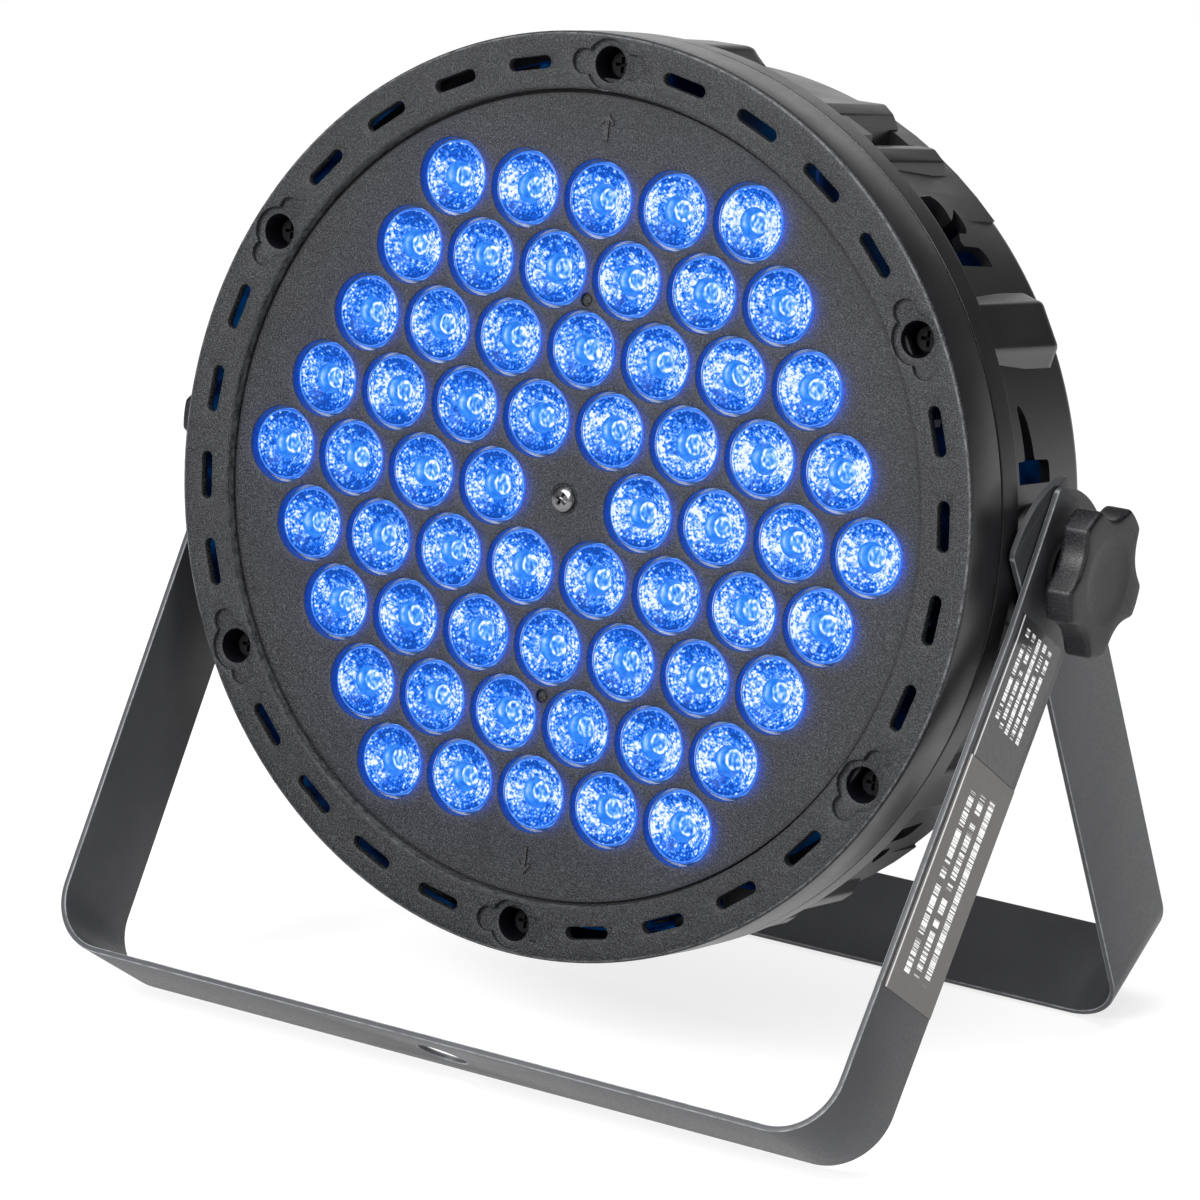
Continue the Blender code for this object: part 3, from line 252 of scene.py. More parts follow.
def lens_material():
    """Lit lens face: pebbled ring of light-blue beads round a clear deep-blue eye."""
    shader = Shader("lit_lens", (0.004, 0.014, 0.08), 0.12, 0.0, Specular_IOR_Level=0.02)
    uv = shader.node("UVMap", uv_map="lens").outputs["UV"]
    apart = shader.node("SeparateXYZ")
    shader.link(uv, apart.inputs["Vector"])
    length = shader.node("VectorMath", operation="LENGTH")
    shader.link(uv, length.inputs[0])
    radius = length.outputs["Value"]

    x, y = apart.outputs["X"], apart.outputs["Y"]
    cell = shader.node("TexVoronoi", feature="F1")
    cell.inputs["Scale"].default_value = 900.0
    shader.link(shader.coords, cell.inputs["Vector"])
    fleck = shader.node("SeparateColor")
    shader.link(cell.outputs["Color"], fleck.inputs["Color"])
    drop = shader.map(cell.outputs["Distance"], 0.15, 0.62, 0.09, -0.08)
    polar_at = shader.node("CombineXYZ")
    shader.link(shader.math("MULTIPLY", shader.math("ARCTAN2", y, x), 7.0), polar_at.inputs["X"])
    shader.link(shader.math("MULTIPLY", radius, 11.0), polar_at.inputs["Y"])
    beads = shader.node("TexVoronoi", feature="F1")
    beads.inputs["Scale"].default_value = 1.0
    beads.inputs["Randomness"].default_value = 0.55
    shader.link(polar_at.outputs["Vector"], beads.inputs["Vector"])
    bead = shader.math("MULTIPLY", shader.map(beads.outputs["Distance"], 0.15, 0.6, 0.17, -0.14),
                       shader.map(radius, 0.58, 0.80, 0.0, 1.0))
    blobs = shader.noise(700.0, 3.5, 0.68)
    fine = shader.noise(1900.0, 1.0, 0.5)
    zones = shader.noise(120.0, 1.0, 0.5)
    lift = shader.math("ADD", drop, shader.math("MULTIPLY", fleck.outputs[0], 0.13))
    lift = shader.math("ADD", lift, bead)
    lift = shader.math("ADD", lift, shader.math("MULTIPLY", blobs, 0.95))
    lift = shader.math("ADD", lift, shader.math("MULTIPLY", zones, 0.42))
    lift = shader.math("ADD", lift, shader.math("MULTIPLY", fine, 0.50))
    ends = shader.map(shader.math("ABSOLUTE", y, 0.0), 0.38, 0.82, 0.0, -0.13)
    sides = shader.map(shader.math("ABSOLUTE", x, 0.0), 0.30, 0.80, -0.02, 0.10)
    lift = shader.math("ADD", lift, shader.math("ADD", ends, sides))
    place = shader.node("SeparateXYZ")
    shader.link(shader.coords, place.inputs["Vector"])
    lift = shader.math("ADD", lift, shader.math("MULTIPLY", place.outputs["X"], 0.5))
    pebble = shader.ramp(shader.map(lift, 0.64, 1.28, 0.0, 1.0), [
        (0.08, (0.0, 0.045, 0.27)),
        (0.24, (0.002, 0.100, 0.62)),
        (0.36, (0.010, 0.170, 0.84)),
        (0.50, (0.09, 0.31, 0.94)),
        (0.64, (0.33, 0.56, 0.98)),
        (0.80, (0.90, 0.96, 1.0)),
    ])
    edge = shader.ramp(radius, [(0.0, 0.0), (0.925, 0.0), (0.945, 1.0), (0.965, 1.0), (0.985, 0.25),
                                (1.0, 0.25)])
    rim = shader.ramp(radius, [(0.93, (0.20, 0.44, 0.98)), (0.965, (0.05, 0.24, 0.86)),
                               (1.0, (0.008, 0.10, 0.66))])
    face = shader.mix(edge, pebble, rim)
    return shader, face


def finish_lens(shader, colour, strength=1.0, bump_depth=0.00012):
    """Connect the light of a lens surface and its beaded relief."""
    shader.link(colour, "Emission Color")
    shader.set("Emission Strength", strength)
    shader.link(shader.bump(shader.noise(1500.0, 1.5, 0.5), bump_depth, 0.5), "Normal")
    shader.link(shader.map(shader.noise(520.0, 2.0), 0.3, 0.7, 0.08, 0.24), "Roughness")


def glow_from(name, stops, source_noise=700.0, base=(0.01, 0.02, 0.06), attribute="depth", strength=1.0):
    """A surface lit from behind whose colour follows a vertex attribute."""
    shader = Shader(name, base, 0.35, Specular_IOR_Level=0.15)
    level = shader.attribute(attribute)
    ripple = shader.noise(source_noise, 2.0, 0.5)
    mixed = shader.math("ADD", level, shader.map(ripple, 0.3, 0.7, -0.10, 0.10))
    shader.link(shader.ramp(mixed, stops), "Emission Color")
    shader.set("Emission Strength", strength)
    shader.link(shader.map(ripple, 0.3, 0.7, 0.2, 0.5), "Roughness")
    return shader


def lens_plate_material():
    """Grained black plate with the blue spill of light round its holes."""
    shader = grained_plastic("plate_grain", (0.002, 0.002, 0.003), (0.034, 0.036, 0.040), 0.48)
    spill = shader.attribute("spill")
    speck = shader.noise(2100.0, 2.0, 0.6)
    amount = shader.math("MULTIPLY", spill, shader.map(speck, 0.3, 0.7, 0.75, 1.2))
    shader.link(shader.ramp(amount, [
        (0.0, (0.0, 0.0, 0.0)),
        (0.12, (0.0, 0.0015, 0.010)),
        (0.35, (0.0, 0.009, 0.065)),
        (0.70, (0.0, 0.032, 0.32)),
        (1.0, (0.0, 0.070, 0.85)),
    ]), "Emission Color")
    shader.set("Emission Strength", 1.0)
    return shader


def label_material(name, paper, ink, lines, start, end, low, high, density):
    """Printed film: plain rows of short strokes that stand for small print, and a painted highlight line along one
    long edge.
    """
    shader = Shader(name, paper, 0.38, 0.0, Specular_IOR_Level=0.5, Coat_Weight=0.25)
    uv = shader.node("UVMap", uv_map="print").outputs["UV"]
    apart = shader.node("SeparateXYZ")
    shader.link(uv, apart.inputs["Vector"])
    along, across = apart.outputs["X"], apart.outputs["Y"]
    rows = shader.math("MULTIPLY", across, float(lines))
    inside = shader.math("FRACT", rows, 0.0)
    band = shader.math("MULTIPLY", shader.math("GREATER_THAN", inside, 0.20),
                       shader.math("LESS_THAN", inside, 0.74))
    place = shader.node("CombineXYZ")
    shader.link(shader.math("MULTIPLY", along, density), place.inputs["X"])
    shader.link(shader.math("MULTIPLY", shader.math("FLOOR", rows, 0.0), 7.31), place.inputs["Y"])
    strokes = shader.noise(1.0, 3.0, 0.75, coords=place.outputs["Vector"])
    words_at = shader.node("VectorMath", operation="MULTIPLY")
    words_at.inputs[1].default_value = (0.13, 1.0, 1.0)
    shader.link(place.outputs["Vector"], words_at.inputs[0])
    words = shader.noise(1.0, 1.0, 0.5, coords=words_at.outputs["Vector"])
    printed = shader.math("MULTIPLY", shader.math("GREATER_THAN", strokes, 0.475),
                          shader.math("GREATER_THAN", words, 0.40))
    printed = shader.math("MULTIPLY", printed, band)
    for value, lower, upper in ((along, start, end), (across, low, high)):
        window = shader.math("MULTIPLY", shader.math("GREATER_THAN", value, lower),
                             shader.math("LESS_THAN", value, upper))
        printed = shader.math("MULTIPLY", printed, window)
    # painted highlight: a light line along one long edge of the film
    painted_edge_line = shader.math("MULTIPLY", shader.math("GREATER_THAN", across, 0.030),
                             shader.math("LESS_THAN", across, 0.055))
    printed = shader.math("MAXIMUM", printed, shader.math("MULTIPLY", painted_edge_line, 0.7))
    grain = shader.noise(900.0, 2.0, 0.5)
    film = shader.ramp(grain, [(0.3, tuple(value * 0.85 for value in paper)), (0.7, paper)])
    shader.link(shader.mix(printed, film, ink), "Base Color")
    shader.link(shader.map(grain, 0.3, 0.7, 0.30, 0.45), "Roughness")
    return shader


# ------------------------------------------------------------------ mesh helpers
def put(name, solid, matrix, materials, body, replaces=(), smooth=34.0, weld=True):
    """Make a piece from a bmesh in millimetres and let it ride on a CAD body."""
    if weld:
        bmesh.ops.remove_doubles(solid, verts=solid.verts, dist=0.004)
    bmesh.ops.recalc_face_normals(solid, faces=solid.faces)
    mesh = bpy.data.meshes.new(name)
    solid.to_mesh(mesh)
    solid.free()
    return put_mesh(name, mesh, matrix, materials, body, replaces, smooth)


def put_mesh(name, mesh, matrix, materials, body, replaces=(), smooth=34.0):
    """Make a piece from a finished mesh in millimetres."""
    mesh.transform(matrix)
    for shader in materials:
        mesh.materials.append(shader.material)
    if smooth:
        mesh.shade_smooth()
        mesh.set_sharp_from_angle(angle=math.radians(smooth))
    made = bpy.data.objects.new(name, mesh)
    bpy.context.scene.collection.objects.link(made)
    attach(made, body)
    if replaces:
        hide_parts(*replaces)
    return made


def polar(radius, angle_deg, centre=(0.0, 0.0)):
    """Point (x, z) at a radius and an angle from +X towards +Z."""
    angle = math.radians(angle_deg)
    return (centre[0] + radius * math.cos(angle), centre[1] + radius * math.sin(angle))


def circle(radius, count, centre=(0.0, 0.0), first=0.0):
    """Points (x, z) of a circle."""
    return [polar(radius, first + 360.0 * step / count, centre) for step in range(count)]


def add_ring(solid, points):
    """Vertices for a list of 3-D points."""
    return [solid.verts.new(point) for point in points]


def bridge(solid, near, far, index=0):
    """Quads between two vertex rings of the same length."""
    count = len(near)
    for step in range(count):
        after = (step + 1) % count
        face = solid.faces.new((near[step], near[after], far[after], far[step]))
        face.material_index = index


def skin(solid, rings, index=0, cap_first=False, cap_last=False):
    """Bridge a row of rings and return their vertices."""
    rows = [add_ring(solid, ring) for ring in rings]
    for near, far in zip(rows, rows[1:]):
        bridge(solid, near, far, index)
    for wanted, row in ((cap_first, rows[0]), (cap_last, rows[-1])):
        if wanted:
            solid.faces.new(row).material_index = index
    return rows


def turn_y(profile, count, centre=(0.0, 0.0), first=0.0):
    """Rings of a lathe about an axis along Y: profile of (radius, y)."""
    rings = []
    for radius, y in profile:
        rings.append([(x, y, z) for x, z in circle(radius, count, centre, first)])
    return rings


def turn_x(profile, count, sign=1.0):
    """Rings of a lathe about the X axis: profile of (radius, x)."""
    rings = []
    for radius, x in profile:
        ring = []
        for step in range(count):
            angle = 2.0 * math.pi * step / count
            ring.append((sign * x, radius * math.sin(angle), radius * math.cos(angle)))
        rings.append(ring)
    return rings


def inside(point, outline):
    """Whether a point lies inside a closed outline."""
    x, z = point
    found = False
    previous = outline[-1]
    for current in outline:
        if (current[1] > z) != (previous[1] > z):
            cross = (previous[0] - current[0]) * (z - current[1]) / (previous[1] - current[1]) + current[0]
            if x < cross:
                found = not found
        previous = current
    return found


def flat_sheet(solid, y, outer, holes, extra=(), index=0):
    """Fill the plane between an outer outline and holes. Returns nothing: edges weld later."""
    points, edges = [], []
    for outline in [outer] + list(holes):
        start = len(points)
        points.extend(Vector(point) for point in outline)
        count = len(outline)
        edges.extend((start + step, start + (step + 1) % count) for step in range(count))
    points.extend(Vector(point) for point in extra)
    found, _, faces, _, _, _ = delaunay_2d_cdt(points, edges, [], 0, 0.00001)
    verts = [solid.verts.new((point.x, y, point.y)) for point in found]
    boxes = []
    for outline in holes:
        xs = [point[0] for point in outline]
        zs = [point[1] for point in outline]
        boxes.append((min(xs), max(xs), min(zs), max(zs), outline))
    for face in faces:
        x = sum(found[i].x for i in face) / len(face)
        z = sum(found[i].y for i in face) / len(face)
        if not inside((x, z), outer):
            continue
        hidden = False
        for low_x, high_x, low_z, high_z, outline in boxes:
            if low_x < x < high_x and low_z < z < high_z and inside((x, z), outline):
                hidden = True
                break
        if not hidden:
            solid.faces.new([verts[i] for i in face]).material_index = index


def lens_centres():
    """Centres (x, z) of the lenses: a hexagonal field without its middle one."""
    centres = []
    for row in range(-4, 5):
        count = 9 - abs(row)
        for column in range(count):
            x = (column - (count - 1) / 2.0) * PITCH
            z = row * PITCH * math.sqrt(3.0) / 2.0
            if abs(x) + abs(z) > 0.1:
                centres.append((x, z))
    return centres


CENTRES = lens_centres()

# ------------------------------------------------------------------ the materials in use
plate_black = lens_plate_material()
bezel_black = grained_plastic("bezel_grain", (0.002, 0.002, 0.003), (0.034, 0.036, 0.039), 0.48)
band_black = satin_plastic("bezel_band", (0.0062, 0.0064, 0.0074), 0.34)
drum_black = satin_plastic("drum_satin", (0.0055, 0.0057, 0.0066), 0.34)
knob_black = grained_plastic("knob_grain", (0.001, 0.001, 0.002), (0.010, 0.0105, 0.012), 0.42, 2100.0,
                             0.00010, 0.7)
steel_coat = powder_coat("graphite_coat")
zinc = worn_metal("zinc_plate", (0.16, 0.16, 0.17), 0.34)
nickel = worn_metal("dark_nickel", (0.20, 0.20, 0.21), 0.24)
# near-black metal: the washers are black; on the screws deep in the bezel pockets it is painted shade
black_metal_and_painted_shade = worn_metal("black_screw_and_painted_shade", (0.0035, 0.0035, 0.0045), 0.7, 0.0)
black_metal_and_painted_shade.set("Specular IOR Level", 0.12)
# painted light: the walls of the plate's holes glow blue as if lit by the lenses
hole_wall = glow_from("hole_wall", [
    (0.0, (0.000, 0.008, 0.09)), (0.35, (0.000, 0.016, 0.17)), (0.7, (0.001, 0.040, 0.36)),
    (1.0, (0.01, 0.12, 0.8))])
lit_inside = satin_plastic("lit_inside", (0.004, 0.005, 0.010), 0.5)
lit_inside.link(lit_inside.ramp(lit_inside.noise(75.0, 3.0, 0.6), [
    (0.38, (0.0, 0.001, 0.012)), (0.50, (0.0, 0.010, 0.055)), (0.60, (0.0, 0.045, 0.17)),
    (0.68, (0.0, 0.070, 0.24))]), "Emission Color")
lit_inside.link(lit_inside.math("MULTIPLY", lit_inside.attribute("lit"), 0.85), "Emission Strength")
# painted shade: near-black plastic for the walls of the deep screw holes in the bezel pockets
painted_pocket_shade = satin_plastic("painted_pocket_shade", (0.0015, 0.0016, 0.004), 0.7)
painted_pocket_shade.set("Specular IOR Level", 0.12)


# ------------------------------------------------------------------ lens plate
def make_lens_plate():
    """Front plate: every hole has a small radius, and the grain carries a spill of blue light."""
    solid = bmesh.new()
    sides = 48
    bevel = ((0.42, 0.0), (0.16, 0.09), (0.0, 0.34))
    hole_outlines, back_outlines = [], []
    for centre in CENTRES:
        rings = [[(x, PLATE_FRONT + drop, z) for x, z in circle(HOLE_RADIUS + grow, sides, centre)]
                 for grow, drop in bevel]
        skin(solid, rings)
        wall = [[(x, y, z) for x, z in circle(HOLE_RADIUS, sides, centre)]
                for y in (PLATE_FRONT + 0.34, PLATE_FRONT + 1.2, PLATE_BACK)]
        skin(solid, wall, index=1)
        hole_outlines.append(circle(HOLE_RADIUS + 0.42, sides, centre))
        back_outlines.append(circle(HOLE_RADIUS, sides, centre))
    screw_rings = [[(x, y, z) for x, z in circle(r, 24)]
                   for r, y in ((4.1, PLATE_FRONT), (3.7, PLATE_FRONT + 0.25), (1.9, PLATE_FRONT + 0.3),
                                (1.9, PLATE_BACK))]
    skin(solid, screw_rings)
    hole_outlines.append(circle(4.1, 24))
    back_outlines.append(circle(1.9, 24))
    for dimple in ((0.0, 49.65), (0.0, -49.65)):
        skin(solid, [[(x, PLATE_FRONT + drop, z) for x, z in circle(r, 24, dimple)]
                     for r, drop in ((1.95, 0.0), (1.75, 0.06), (1.65, 0.25), (1.6, 1.0))])
        skin(solid, [[(x, PLATE_FRONT + drop, z) for x, z in circle(r, 24, dimple)]
                     for r, drop in ((1.6, 1.0), (1.15, 1.0), (1.0, 0.75), (0.4, 0.7))], cap_last=True)
        hole_outlines.append(circle(1.95, 24, dimple))
    extra = []
    step = 1.7
    reach = int(101.0 / step) + 1
    for i in range(-reach, reach + 1):
        for j in range(-reach, reach + 1):
            x, z = (i + 0.5 * (j % 2)) * step, j * step * 0.866
            if math.hypot(x, z) > 98.8 or math.hypot(x, z) < 5.0:
                continue
            if min((x - cx) ** 2 + (z - cz) ** 2 for cx, cz in CENTRES) > 11.0 ** 2:
                extra.append((x, z))
    extra += circle(99.15, 240)
    rim = circle(99.95, 240)
    flat_sheet(solid, PLATE_FRONT, rim, hole_outlines, extra)
    skin(solid, turn_y([(99.95, PLATE_FRONT), (100.15, PLATE_FRONT + 0.15), (100.15, PLATE_FRONT + 1.1),
                        (104.0, PLATE_FRONT + 1.1), (104.0, PLATE_BACK)], 240))
    flat_sheet(solid, PLATE_BACK, circle(104.0, 240), back_outlines)
    piece = put("plate_face", solid, Matrix.Identity(4), [plate_black, hole_wall], "housing",
                ("lens_plate",), 30.0)
    spill = piece.data.attributes.new("spill", "FLOAT", "POINT")
    depth = piece.data.attributes.new("depth", "FLOAT", "POINT")
    painted_groove_shade = piece.data.attributes.new("painted_groove_shade", "FLOAT", "POINT")
    for index, vertex in enumerate(piece.data.vertices):
        x, y, z = vertex.co
        total = 0.0
        dimple = math.hypot(x, abs(z) - 49.65)
        # painted shade: the plate darkens at its rim under the bezel step and in a ring inside each dimple
        painted_groove_shade.data[index].value = 0.75 if math.hypot(x, z) > 99.3 or 1.5 < dimple < 1.8 else 0.0
        if y < PLATE_FRONT + 0.4:
            for cx, cz in CENTRES:
                gap = math.hypot(x - cx, z - cz) - HOLE_RADIUS
                if gap < 12.0:
                    toward = max((x - cx) / max(math.hypot(x - cx, z - cz), 0.1), 0.0)
                    near = (0.28 + 0.64 * toward ** 2) * math.exp(-max(gap, 0.0) / (0.8 + 1.9 * toward))
                    total = max(total, near, 0.16 * math.exp(-max(gap, 0.0) / 6.0))
        spill.data[index].value = min(total, 1.0)
        # painted light: the hole walls glow blue, brighter deeper in and on the left wall of each hole
        nearest = min(CENTRES, key=lambda c: (x - c[0]) ** 2 + (z - c[1]) ** 2)
        side = (nearest[0] - x) / HOLE_RADIUS
        level = (y - PLATE_FRONT) / (PLATE_BACK - PLATE_FRONT)
        depth.data[index].value = 0.18 + 0.42 * level + 0.16 * side
    piece.data.transform(HOUSING)
    return piece


# ------------------------------------------------------------------ lenses
def make_lenses():
    """Sixty lens units: a beaded ring, a stepped edge and a deep clear eye with a domed floor."""
    shader, face = lens_material()
    finish_lens(shader, face)
    eye = glow_from("lens_eye", [
        (0.0, (0.002, 0.05, 0.36)), (0.28, (0.012, 0.19, 0.74)), (0.48, (0.080, 0.33, 0.92)),
        (0.66, (0.34, 0.58, 1.0)), (0.86, (0.95, 0.98, 1.0)), (1.0, (1.0, 1.0, 1.0))],
        source_noise=620.0, base=(0.01, 0.03, 0.12))
    edge = glow_from("lens_edge", [
        (0.0, (0.000, 0.030, 0.30)), (0.5, (0.002, 0.10, 0.70)), (1.0, (0.12, 0.38, 1.0))],
        base=(0.005, 0.015, 0.06))
    solid = bmesh.new()
    layer = solid.loops.layers.uv.new("lens")
    sides = 40
    for number, centre in enumerate(CENTRES):
        profile = [(LENS_RADIUS, PLATE_BACK + 1.2), (LENS_RADIUS, LENS_FACE + 0.5),
                   (LENS_RADIUS - 0.12, LENS_FACE + 0.12),
                   (LENS_RADIUS - 0.42, LENS_FACE)]
        rows = skin(solid, turn_y(profile, sides, centre), index=2)
        rings = [(LENS_RADIUS - 0.42, LENS_FACE), (8.0, LENS_FACE + 0.04), (7.0, LENS_FACE + 0.25),
                 (6.0, LENS_FACE + 0.58), (4.9, LENS_FACE + 0.98), (EYE_RADIUS, EYE_EDGE)]
        skin(solid, turn_y(rings, sides, centre), index=0)
        well = [(EYE_RADIUS, EYE_EDGE), (EYE_RADIUS - 0.15, EYE_EDGE + 0.5),
                (EYE_RADIUS - 0.4, EYE_EDGE + 1.2),
                (EYE_RADIUS - 0.7, EYE_EDGE + 2.0), (EYE_RADIUS - 1.1, EYE_FLOOR), (2.45, EYE_FLOOR),
                (2.25, EYE_FLOOR - 0.15), (1.95, EYE_FLOOR - 0.22), (1.7, EYE_FLOOR - 0.25),
                (1.25, EYE_FLOOR - 0.3),
                (0.8, EYE_FLOOR - 0.33), (0.35, EYE_FLOOR - 0.35)]
        skin(solid, turn_y(well, sides, centre), index=1, cap_last=True)
        solid.faces.ensure_lookup_table()
    for piece_face in solid.faces:
        middle = piece_face.calc_center_median()
        cx, cz = min(CENTRES, key=lambda c: (middle.x - c[0]) ** 2 + (middle.z - c[1]) ** 2)
        for loop in piece_face.loops:
            loop[layer].uv = ((loop.vert.co.x - cx) / LENS_RADIUS, (loop.vert.co.z - cz) / LENS_RADIUS)
    piece = put("lens_units", solid, Matrix.Identity(4), [shader, eye, edge], "housing",
                ("lens_array",), 50.0)
    depth = piece.data.attributes.new("depth", "FLOAT", "POINT")
    for index, vertex in enumerate(piece.data.vertices):
        x, y, z = vertex.co
        cx, cz = min(CENTRES, key=lambda c: (x - c[0]) ** 2 + (z - c[1]) ** 2)
        radius = math.hypot(x - cx, z - cz)
        wobble = smooth_noise((x * 1.3, y * 1.3, z * 0.8))
        turn = abs(math.degrees(math.atan2(z - cz, cx - x)))
        if radius > 8.0:
            value = 0.55 + 0.3 * (y - LENS_FACE)
        elif radius > 2.6:
            # painted highlight: a soft bright patch on the left wall of each eye well; the right side is painted a
            # little darker
            band = math.exp(-((y - EYE_EDGE - 1.3) / 0.8) ** 2) * math.exp(-((turn - 8.0) / 30.0) ** 2)
            value = 0.24 + 0.46 * band + 0.12 * wobble - 0.08 * (turn > 100.0)
        elif radius > 1.8:
            value = 0.72 + 0.70 * wobble
        else:
            value = 0.46 + 0.70 * wobble
        depth.data[index].value = value
    piece.data.transform(HOUSING)
    return piece


# ------------------------------------------------------------------ bezel
def slot_outline(angle, grow):
    """Rounded slot lying along the screw circle."""
    radius = 1.55 + grow
    reach = 12.2 / 2.0 - 1.55
    points = []
    for end, first in ((1.0, 0.0), (-1.0, 180.0)):
        for step in range(9):
            x, z = polar(radius, first + 180.0 * step / 8)
            along = z + end * reach
            radial = SCREW_CIRCLE + x - along * along / (2.0 * SCREW_CIRCLE)
            ux, uz = polar(1.0, angle)
            points.append((radial * ux - along * uz, radial * uz + along * ux))
    return points


def pocket_outline(angle, grow, count=64):
    """Recess round a screw: a circle with one lobe to each side."""
    points = []
    ux, uz = polar(1.0, angle)
    for step in range(count):
        turn = 360.0 * step / count
        across, along = polar(1.0, turn)
        reach = 6.2 + grow
        lobe = (3.2 + grow) ** 2 - (6.9 * across) ** 2
        if lobe > 0.0:
            reach = max(reach, 6.9 * abs(along) + math.sqrt(lobe))
        radial = SCREW_CIRCLE + across * reach
        points.append((radial * ux - along * reach * uz, radial * uz + along * reach * ux))
    return points


def make_bezel():
    """Grained ring with slots and screw pockets, and the smooth band round it."""
    solid = bmesh.new()
    bevel = ((0.34, 0.0), (0.12, 0.08), (0.0, 0.30))
    holes = []
    for angle in SCREW_ANGLES:
        for offset in (-24.0, -12.0, 12.0, 24.0):
            rings = [[(x, RING_FRONT + drop, z) for x, z in slot_outline(angle + offset, grow)]
                     for grow, drop in bevel]
            rings += [[(x, RING_FRONT + 2.3, z) for x, z in slot_outline(angle + offset, 0.0)]]
            skin(solid, rings)
            holes.append(slot_outline(angle + offset, 0.34))
        rings = [[(x, RING_FRONT + drop, z) for x, z in pocket_outline(angle, grow)] for grow, drop in bevel]
        rings += [[(x, RING_FRONT + 1.35, z) for x, z in pocket_outline(angle, 0.0)],
                  [(x, RING_FRONT + 1.5, z) for x, z in pocket_outline(angle, -0.2)]]
        centre = polar(SCREW_CIRCLE, angle)
        inner = [(x, z) for x, z in circle(4.75, 64, centre, angle)]
        rings += [[(x, RING_FRONT + 1.5, z) for x, z in inner],
                  [(x, RING_FRONT + 1.6, z) for x, z in circle(4.5, 64, centre, angle)],
                  [(x, RING_FRONT + 1.9, z) for x, z in circle(4.45, 64, centre, angle)]]
        skin(solid, rings)
        skin(solid, [[(x, RING_FRONT + depth, z) for x, z in circle(radius, 64, centre, angle)]
                     for radius, depth in ((4.45, 1.9), (4.40, 10.1), (1.7, 10.1))], index=2)
        holes.append(pocket_outline(angle, 0.34))
    outer = circle(114.05, 240)
    inner = circle(RING_INNER + 0.55, 240)
    extra = []
    for radius in (101.95, 103.0, 104.4, 110.6, 112.2):
        extra += circle(radius, 240)
    flat_sheet(solid, RING_FRONT, outer, [inner] + holes, extra)
    lip = [(RING_INNER + 0.55, RING_FRONT), (RING_INNER + 0.20, RING_FRONT + 0.10),
           (RING_INNER, RING_FRONT + 0.40), (RING_INNER, PLATE_FRONT + 1.0)]
    skin(solid, turn_y(lip, 240))
    edge = [(114.05, RING_FRONT), (114.45, RING_FRONT + 0.10), (114.78, RING_FRONT + 0.34),
            (114.97, RING_FRONT + 0.70)]
    skin(solid, turn_y(edge, 240))
    band = [(114.97, RING_FRONT + 0.70), (115.02, RING_FRONT + 1.2), (115.36, SEAM - 0.75),
            (115.22, SEAM - 0.40),
            (114.9, SEAM - 0.25), (112.9, SEAM - 0.25)]
    skin(solid, turn_y(band, 240), index=1)
    skin(solid, turn_y([(112.9, SEAM - 0.25), (112.75, -32.0), (112.6, RING_FRONT + 2.3)], 240), index=3)
    piece = put("bezel_ring", solid, Matrix.Identity(4), [bezel_black, band_black, painted_pocket_shade, lit_inside],
                "housing",
                ("front_bezel",), 30.0)
    edge = piece.data.attributes.new("edge", "FLOAT", "POINT")
    painted_groove_shade = piece.data.attributes.new("painted_groove_shade", "FLOAT", "POINT")
    lit = piece.data.attributes.new("lit", "FLOAT", "POINT")
    for index, vertex in enumerate(piece.data.vertices):
        x, y, z = vertex.co
        radius = math.hypot(x, z)
        # painted highlight: a light line on the rounded outer front rim; the inner lip wall is painted lighter as
        # if lit from the right
        painted_edge_highlight = 0.62 if 114.3 < radius < 114.6 and y < RING_FRONT + 0.6 else 0.0
        edge.data[index].value = 0.45 if radius < RING_INNER + 0.05 else painted_edge_highlight
        # painted shade: the rounded inner lip is darkened
        painted_groove_shade.data[index].value = 0.25 if RING_INNER + 0.1 < radius < RING_INNER + 0.6 else 0.0
        lit.data[index].value = 0.45
    piece.data.transform(HOUSING)
    return piece


def make_arrow(name, z_tip, direction):
    """Small raised arrow on the plate."""
    solid = bmesh.new()
    d = direction
    outline = [(0.0, z_tip), (1.9, z_tip - 2.4 * d), (1.5, z_tip - 2.9 * d), (0.45, z_tip - 1.5 * d),
               (0.45, z_tip - 6.7 * d), (-0.45, z_tip - 6.7 * d), (-0.45, z_tip - 1.5 * d),
               (-1.5, z_tip - 2.9 * d), (-1.9, z_tip - 2.4 * d)]
    rings = []
    middle = z_tip - 3.3 * d
    for grow, y in ((0.34, PLATE_FRONT - 0.03), (0.0, PLATE_FRONT - 0.05), (0.0, PLATE_FRONT - 0.30),
                    (-0.1, PLATE_FRONT - 0.40)):
        ring = []
        for x, z in outline:
            ring.append((0.5 + x + math.copysign(grow, x), y, z + math.copysign(grow, z - middle)))
        rings.append(ring)
    skin(solid, rings, cap_last=True)
    piece = put(name, solid, Matrix.Identity(4), [bezel_black], "housing", (), 25.0)
    painted_groove_shade = piece.data.attributes.new("painted_groove_shade", "FLOAT", "POINT")
    edge = piece.data.attributes.new("edge", "FLOAT", "POINT")
    for index, vertex in enumerate(piece.data.vertices):
        # painted shade darkens the arrow's foot at the plate; a faint painted highlight lightens its top
        painted_groove_shade.data[index].value = 1.0 if vertex.co.y > PLATE_FRONT - 0.08 else 0.0
        edge.data[index].value = 0.06 if vertex.co.y < PLATE_FRONT - 0.35 else 0.0
    piece.data.transform(HOUSING)
    return piece


